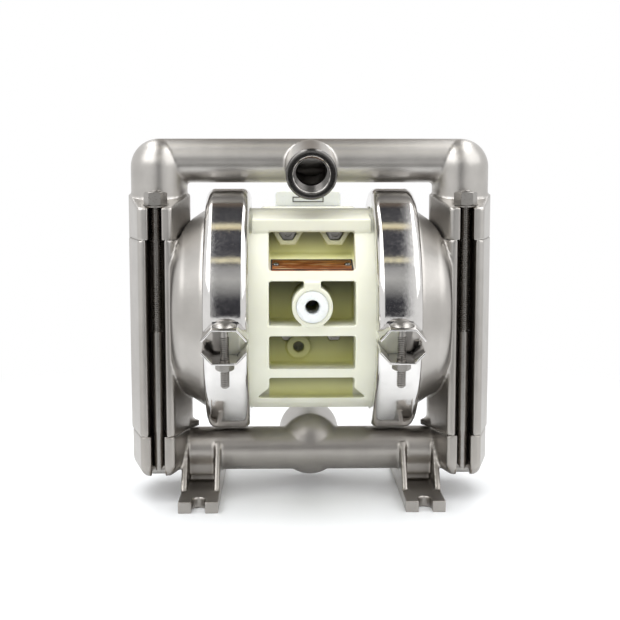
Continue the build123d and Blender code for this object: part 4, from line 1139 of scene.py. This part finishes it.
class PUMP_OT_long_bolts(bpy.types.Operator):
    """Thread the four long bolts, and cut their nuts and washers"""

    bl_idname = "pump.long_bolts"
    bl_label = "Long bolts"

    def execute(self, context):
        shank = lathe("long_bolt", LONG_BOLT_OUTLINE)
        ridge = coil("long_bolt_thread", root=3.2, crest=4.0, pitch=1.41, turns=71)
        ridge.location.z = LONG_THREAD_START * MM
        tee = lathe("long_bolt_tee", TEE_OUTLINE)
        tee.rotation_euler.y = pi / 2
        bolt = weld([shank, ridge, tee])
        smooth(bolt, 25)
        washer = lathe("washer", WASHER_OUTLINE, steps=64)
        smooth(washer, 25)
        nut = hex_nut("long_bolt_nut", flat=14.4, height=9.6, bore=4.05)
        for piece, height, name in (
            (bolt, TEE_HEIGHT, "manifold_bolts"),
            (washer, LUG_SEAT, "manifold_washers"),
            (nut, LUG_SEAT + WASHER_THICKNESS, "manifold_nuts"),
        ):
            piece = repeat(
                piece,
                [
                    (x, y, height)
                    for x in (-LEG_X, LEG_X)
                    for y in (-BOLT_REACH, BOLT_REACH)
                ],
            )
            hand_over(piece, f"threaded_{name}", "bolt_stainless", name)
        return {"FINISHED"}


class PUMP_OT_centre(bpy.types.Operator):
    """Round the moulded centre section and the pieces fixed to it"""

    bl_idname = "pump.centre"
    bl_label = "Centre section"

    def execute(self, context):
        sizes = context.scene.pump_sizes
        for node, slot_name, grain, share in (
            ("center_section", "ivory_polypropylene", sizes.moulding_grain, 0.35),
            ("air_valve_body", "white_nylon", sizes.moulding_grain, 0.5),
            ("muffler_plate", "ivory_polypropylene", sizes.moulding_grain, 0.5),
        ):
            piece = cad_copy(node, node)
            soften(piece, grain, passes=3, share=share)
            hand_over(piece, f"{node}_moulding", slot_name, node)
        for node, slot_name, width in CRISP_NODES:
            piece = cad_copy(node, node)
            bpy.ops.object.mode_set(mode="EDIT")
            bpy.ops.mesh.select_all(action="SELECT")
            bpy.ops.mesh.dissolve_limited(angle_limit=radians(1))
            bpy.ops.object.mode_set(mode="OBJECT")
            ease_edges(piece, width)
            smooth(piece, 30)
            hand_over(piece, f"{node}_eased", slot_name, node)
        edge = rim_frame("label_edge", width=56.8, height=18.8, rim=1.1, thickness=0.5)
        out = Vector((0, -sin(LABEL_SLOPE), cos(LABEL_SLOPE))) * MM
        middle = Vector(LABEL_MIDDLE) * MM
        edge.location = middle + LABEL_EDGE_RISE * out
        edge.rotation_euler.x = radians(90) + LABEL_SLOPE
        hand_over(edge, "label_edge", "gasket_rubber")
        screw = lathe("label_screw", LABEL_SCREW_OUTLINE, steps=32)
        smooth(screw, 40)
        screws = repeat(screw, [(x, 0, 0) for x in LABEL_SCREWS])
        settle(screws)
        screws.location = middle + LABEL_PLATE_RISE * out
        screws.rotation_euler.x = LABEL_SLOPE
        hand_over(screws, "domed_label_screws", "turned_stainless", "label_screws")
        panel = rim_frame("valve_panel", width=24.4, height=4.2, rim=0.7, thickness=1.1)
        panel.location = Vector(VALVE_PANEL_PLACE) * MM
        hand_over(panel, "valve_panel", "turned_stainless")
        return {"FINISHED"}


def seen_by(tree, rays):
    """1 for rays of any of these kinds and 0 for all others."""
    path = add_node(tree, "ShaderNodeLightPath")
    seen = 0.0
    for kind in rays:
        seen = add_node(
            tree,
            "ShaderNodeMath",
            {0: path.outputs[kind], 1: seen},
            operation="MAXIMUM",
        ).outputs[0]
    return seen


def floor_finish():
    """White floor that keeps the pump's shadow near it and fades into the background."""
    material = new_material("white_studio_floor")
    tree = material.node_tree
    place = add_node(tree, "ShaderNodeTexCoord").outputs["Object"]
    distance = add_node(tree, "ShaderNodeVectorMath", {0: place}, operation="LENGTH")
    fade = add_node(
        tree,
        "ShaderNodeMapRange",
        {
            "Value": distance.outputs["Value"],
            "From Min": FLOOR_FADE_START,
            "From Max": FLOOR_FADE_END,
        },
        interpolation_type="SMOOTHSTEP",
    )
    share = add_node(
        tree,
        "ShaderNodeMath",
        {
            0: fade.outputs[0],
            1: seen_by(tree, ("Is Camera Ray", "Is Glossy Ray")),
        },
        operation="MULTIPLY",
    )
    paint = add_node(
        tree,
        "ShaderNodeBsdfPrincipled",
        {"Base Color": hex_colour("FBFDFF"), "Roughness": 0.3},
    )
    white = add_node(tree, "ShaderNodeEmission", {"Color": grey(1), "Strength": 1})
    mix = add_node(
        tree,
        "ShaderNodeMixShader",
        {0: share.outputs[0], 1: paint.outputs[0], 2: white.outputs[0]},
    )
    add_node(tree, "ShaderNodeOutputMaterial", {"Surface": mix.outputs[0]})
    return material


def card_finish(name, stops, start, end):
    """Even glow on a card, coloured by elevation, that turns white towards its sides."""
    material = new_material(name)
    tree = material.node_tree
    place = add_node(tree, "ShaderNodeTexCoord").outputs["Object"]
    axes = add_node(tree, "ShaderNodeSeparateXYZ", {"Vector": place}).outputs
    rise = add_node(
        tree, "ShaderNodeMath", {0: axes["Z"], 1: CARD_HEIGHT}, operation="SUBTRACT"
    )
    ahead = add_node(
        tree, "ShaderNodeMath", {0: axes["Y"], 1: -1.0}, operation="MULTIPLY"
    )
    elevation = add_node(
        tree,
        "ShaderNodeMath",
        {0: rise.outputs[0], 1: ahead.outputs[0]},
        operation="ARCTAN2",
    )
    share = add_node(
        tree,
        "ShaderNodeMapRange",
        {
            "Value": elevation.outputs[0],
            "From Min": radians(start),
            "From Max": radians(end),
        },
    )
    colours = add_node(
        tree,
        "ShaderNodeValToRGB",
        {"Fac": share.outputs[0]},
        [((angle - start) / (end - start), colour) for angle, colour in stops],
    )
    off_middle = add_node(
        tree, "ShaderNodeMath", {0: axes["X"]}, operation="ABSOLUTE"
    )
    side = add_node(
        tree,
        "ShaderNodeMapRange",
        {
            "Value": off_middle.outputs[0],
            "From Min": CARD_FADE,
            "From Max": CARD_HALF_WIDTH,
        },
        interpolation_type="SMOOTHSTEP",
    )
    glow = add_node(
        tree,
        "ShaderNodeMix",
        {MIX_FACTOR: side.outputs[0], MIX_A: colours.outputs["Color"], MIX_B: grey(1)},
        data_type="RGBA",
    )
    light = add_node(
        tree, "ShaderNodeEmission", {"Color": glow.outputs[MIX_RESULT], "Strength": 1}
    )
    add_node(tree, "ShaderNodeOutputMaterial", {"Surface": light.outputs[0]})
    return material


def only_reflected(card, material):
    """Let a card show in shiny surfaces and nowhere else."""
    card.data.materials.append(material)
    card.visible_camera = False
    card.visible_diffuse = False
    card.visible_shadow = False
    card.visible_transmission = False


def curved_card():
    """A card bent about the pump from low in front to high behind."""
    first = radians(CARD_START)
    deselect()
    bpy.ops.mesh.primitive_plane_add(size=1)
    card = bpy.context.object
    card.name = "curved_card"
    bpy.ops.object.mode_set(mode="EDIT")
    bpy.ops.mesh.delete(type="ONLY_FACE")
    bpy.ops.object.mode_set(mode="OBJECT")
    height = CARD_RADIUS * sin(first) + CARD_HEIGHT
    for vertex, side in zip(card.data.vertices, (-1, 1, -1, 1)):
        vertex.co = (side * CARD_HALF_WIDTH, -CARD_RADIUS * cos(first), height)
    bpy.ops.object.mode_set(mode="EDIT")
    bpy.ops.mesh.select_all(action="SELECT")
    bpy.ops.mesh.remove_doubles(threshold=MM)
    bpy.ops.mesh.select_all(action="SELECT")
    bpy.ops.mesh.spin(
        steps=90,
        angle=radians(CARD_END - CARD_START),
        center=(0, 0, CARD_HEIGHT),
        axis=(1, 0, 0),
    )
    bpy.ops.object.mode_set(mode="OBJECT")
    return card


class PUMP_OT_stage(bpy.types.Operator):
    """Add the white floor, the studio lights and the camera"""

    bl_idname = "pump.stage"
    bl_label = "Stage"

    def execute(self, context):
        sizes = context.scene.pump_sizes
        deselect()
        bpy.ops.mesh.primitive_circle_add(
            vertices=96, radius=FLOOR_RADIUS, fill_type="NGON"
        )
        floor = context.object
        floor.name = "studio_floor"
        floor.data.materials.append(floor_finish())
        bpy.ops.mesh.primitive_grid_add(
            x_subdivisions=2, y_subdivisions=2, size=APRON_WIDTH, location=APRON_PLACE
        )
        apron = context.object
        apron.name = "dark_apron"
        apron.scale.y = APRON_DEPTH_SHARE
        stops = [(0, APRON_COLOUR), (90, APRON_COLOUR)]
        only_reflected(apron, card_finish("dark_apron", stops, 0, 90))
        only_reflected(
            curved_card(), card_finish("curved_card", CARD_STOPS, CARD_START, CARD_END)
        )
        for name, place, target, size, power in LAMPS:
            bpy.ops.object.light_add(type="AREA", location=place)
            lamp = context.object
            lamp.name = name
            lamp.data.size = size
            lamp.data.energy = power
            aim = Vector(target) - Vector(place)
            lamp.rotation_euler = aim.to_track_quat("-Z", "Y").to_euler()
        world = bpy.data.worlds.new("studio")
        context.scene.world = world
        world.use_nodes = True
        tree = world.node_tree
        tree.nodes.clear()
        rays = ("Is Camera Ray", "Is Glossy Ray", "Is Transmission Ray")
        dim = add_node(
            tree,
            "ShaderNodeBackground",
            {"Color": grey(1), "Strength": WORLD_STRENGTH},
        )
        white = add_node(tree, "ShaderNodeBackground", {"Color": grey(1), "Strength": 1})
        mix = add_node(
            tree,
            "ShaderNodeMixShader",
            {0: seen_by(tree, rays), 1: dim.outputs[0], 2: white.outputs[0]},
        )
        add_node(tree, "ShaderNodeOutputWorld", {"Surface": mix.outputs[0]})
        bpy.ops.object.camera_add()
        camera = context.object
        camera.data.lens = sizes.camera_lens
        camera.data.sensor_width = SENSOR_WIDTH
        look = Vector(
            (
                sin(sizes.camera_yaw) * cos(sizes.camera_pitch),
                cos(sizes.camera_yaw) * cos(sizes.camera_pitch),
                -sin(sizes.camera_pitch),
            )
        )
        camera.location = Vector((0, 0, sizes.aim_height)) - look * sizes.camera_distance
        camera.rotation_euler = look.to_track_quat("-Z", "Y").to_euler()
        context.scene.camera = camera
        context.scene.view_settings.view_transform = "Standard"
        return {"FINISHED"}


OPERATORS = (
    PUMP_OT_finishes,
    PUMP_OT_castings,
    PUMP_OT_threads,
    PUMP_OT_bands,
    PUMP_OT_clamp_bolts,
    PUMP_OT_long_bolts,
    PUMP_OT_centre,
    PUMP_OT_stage,
)


class PUMP_PT_panel(bpy.types.Panel):
    """Lists the steps that dress the pump"""

    bl_idname = "PUMP_PT_panel"
    bl_label = "Diaphragm pump"
    bl_space_type = "VIEW_3D"
    bl_region_type = "UI"
    bl_category = "Pump"

    def draw(self, context):
        for operator in OPERATORS:
            self.layout.operator(operator.bl_idname)
        for group in (context.scene.pump_sizes, context.scene.pump_colours):
            for name in group.__annotations__:
                self.layout.prop(group, name)


CLASSES = (PumpSizes, PumpColours, *OPERATORS, PUMP_PT_panel)


def register():
    """Add the classes and the settings."""
    for cls in CLASSES:
        bpy.utils.register_class(cls)
    bpy.types.Scene.pump_sizes = bpy.props.PointerProperty(type=PumpSizes)
    bpy.types.Scene.pump_colours = bpy.props.PointerProperty(type=PumpColours)


def unregister():
    """Take the settings and the classes away again."""
    del bpy.types.Scene.pump_colours
    del bpy.types.Scene.pump_sizes
    for cls in reversed(CLASSES):
        bpy.utils.unregister_class(cls)


def main():
    """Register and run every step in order."""
    register()
    bpy.ops.pump.finishes()
    bpy.ops.pump.castings()
    bpy.ops.pump.threads()
    bpy.ops.pump.bands()
    bpy.ops.pump.clamp_bolts()
    bpy.ops.pump.long_bolts()
    bpy.ops.pump.centre()
    bpy.ops.pump.stage()


if __name__ == "__main__":
    main()
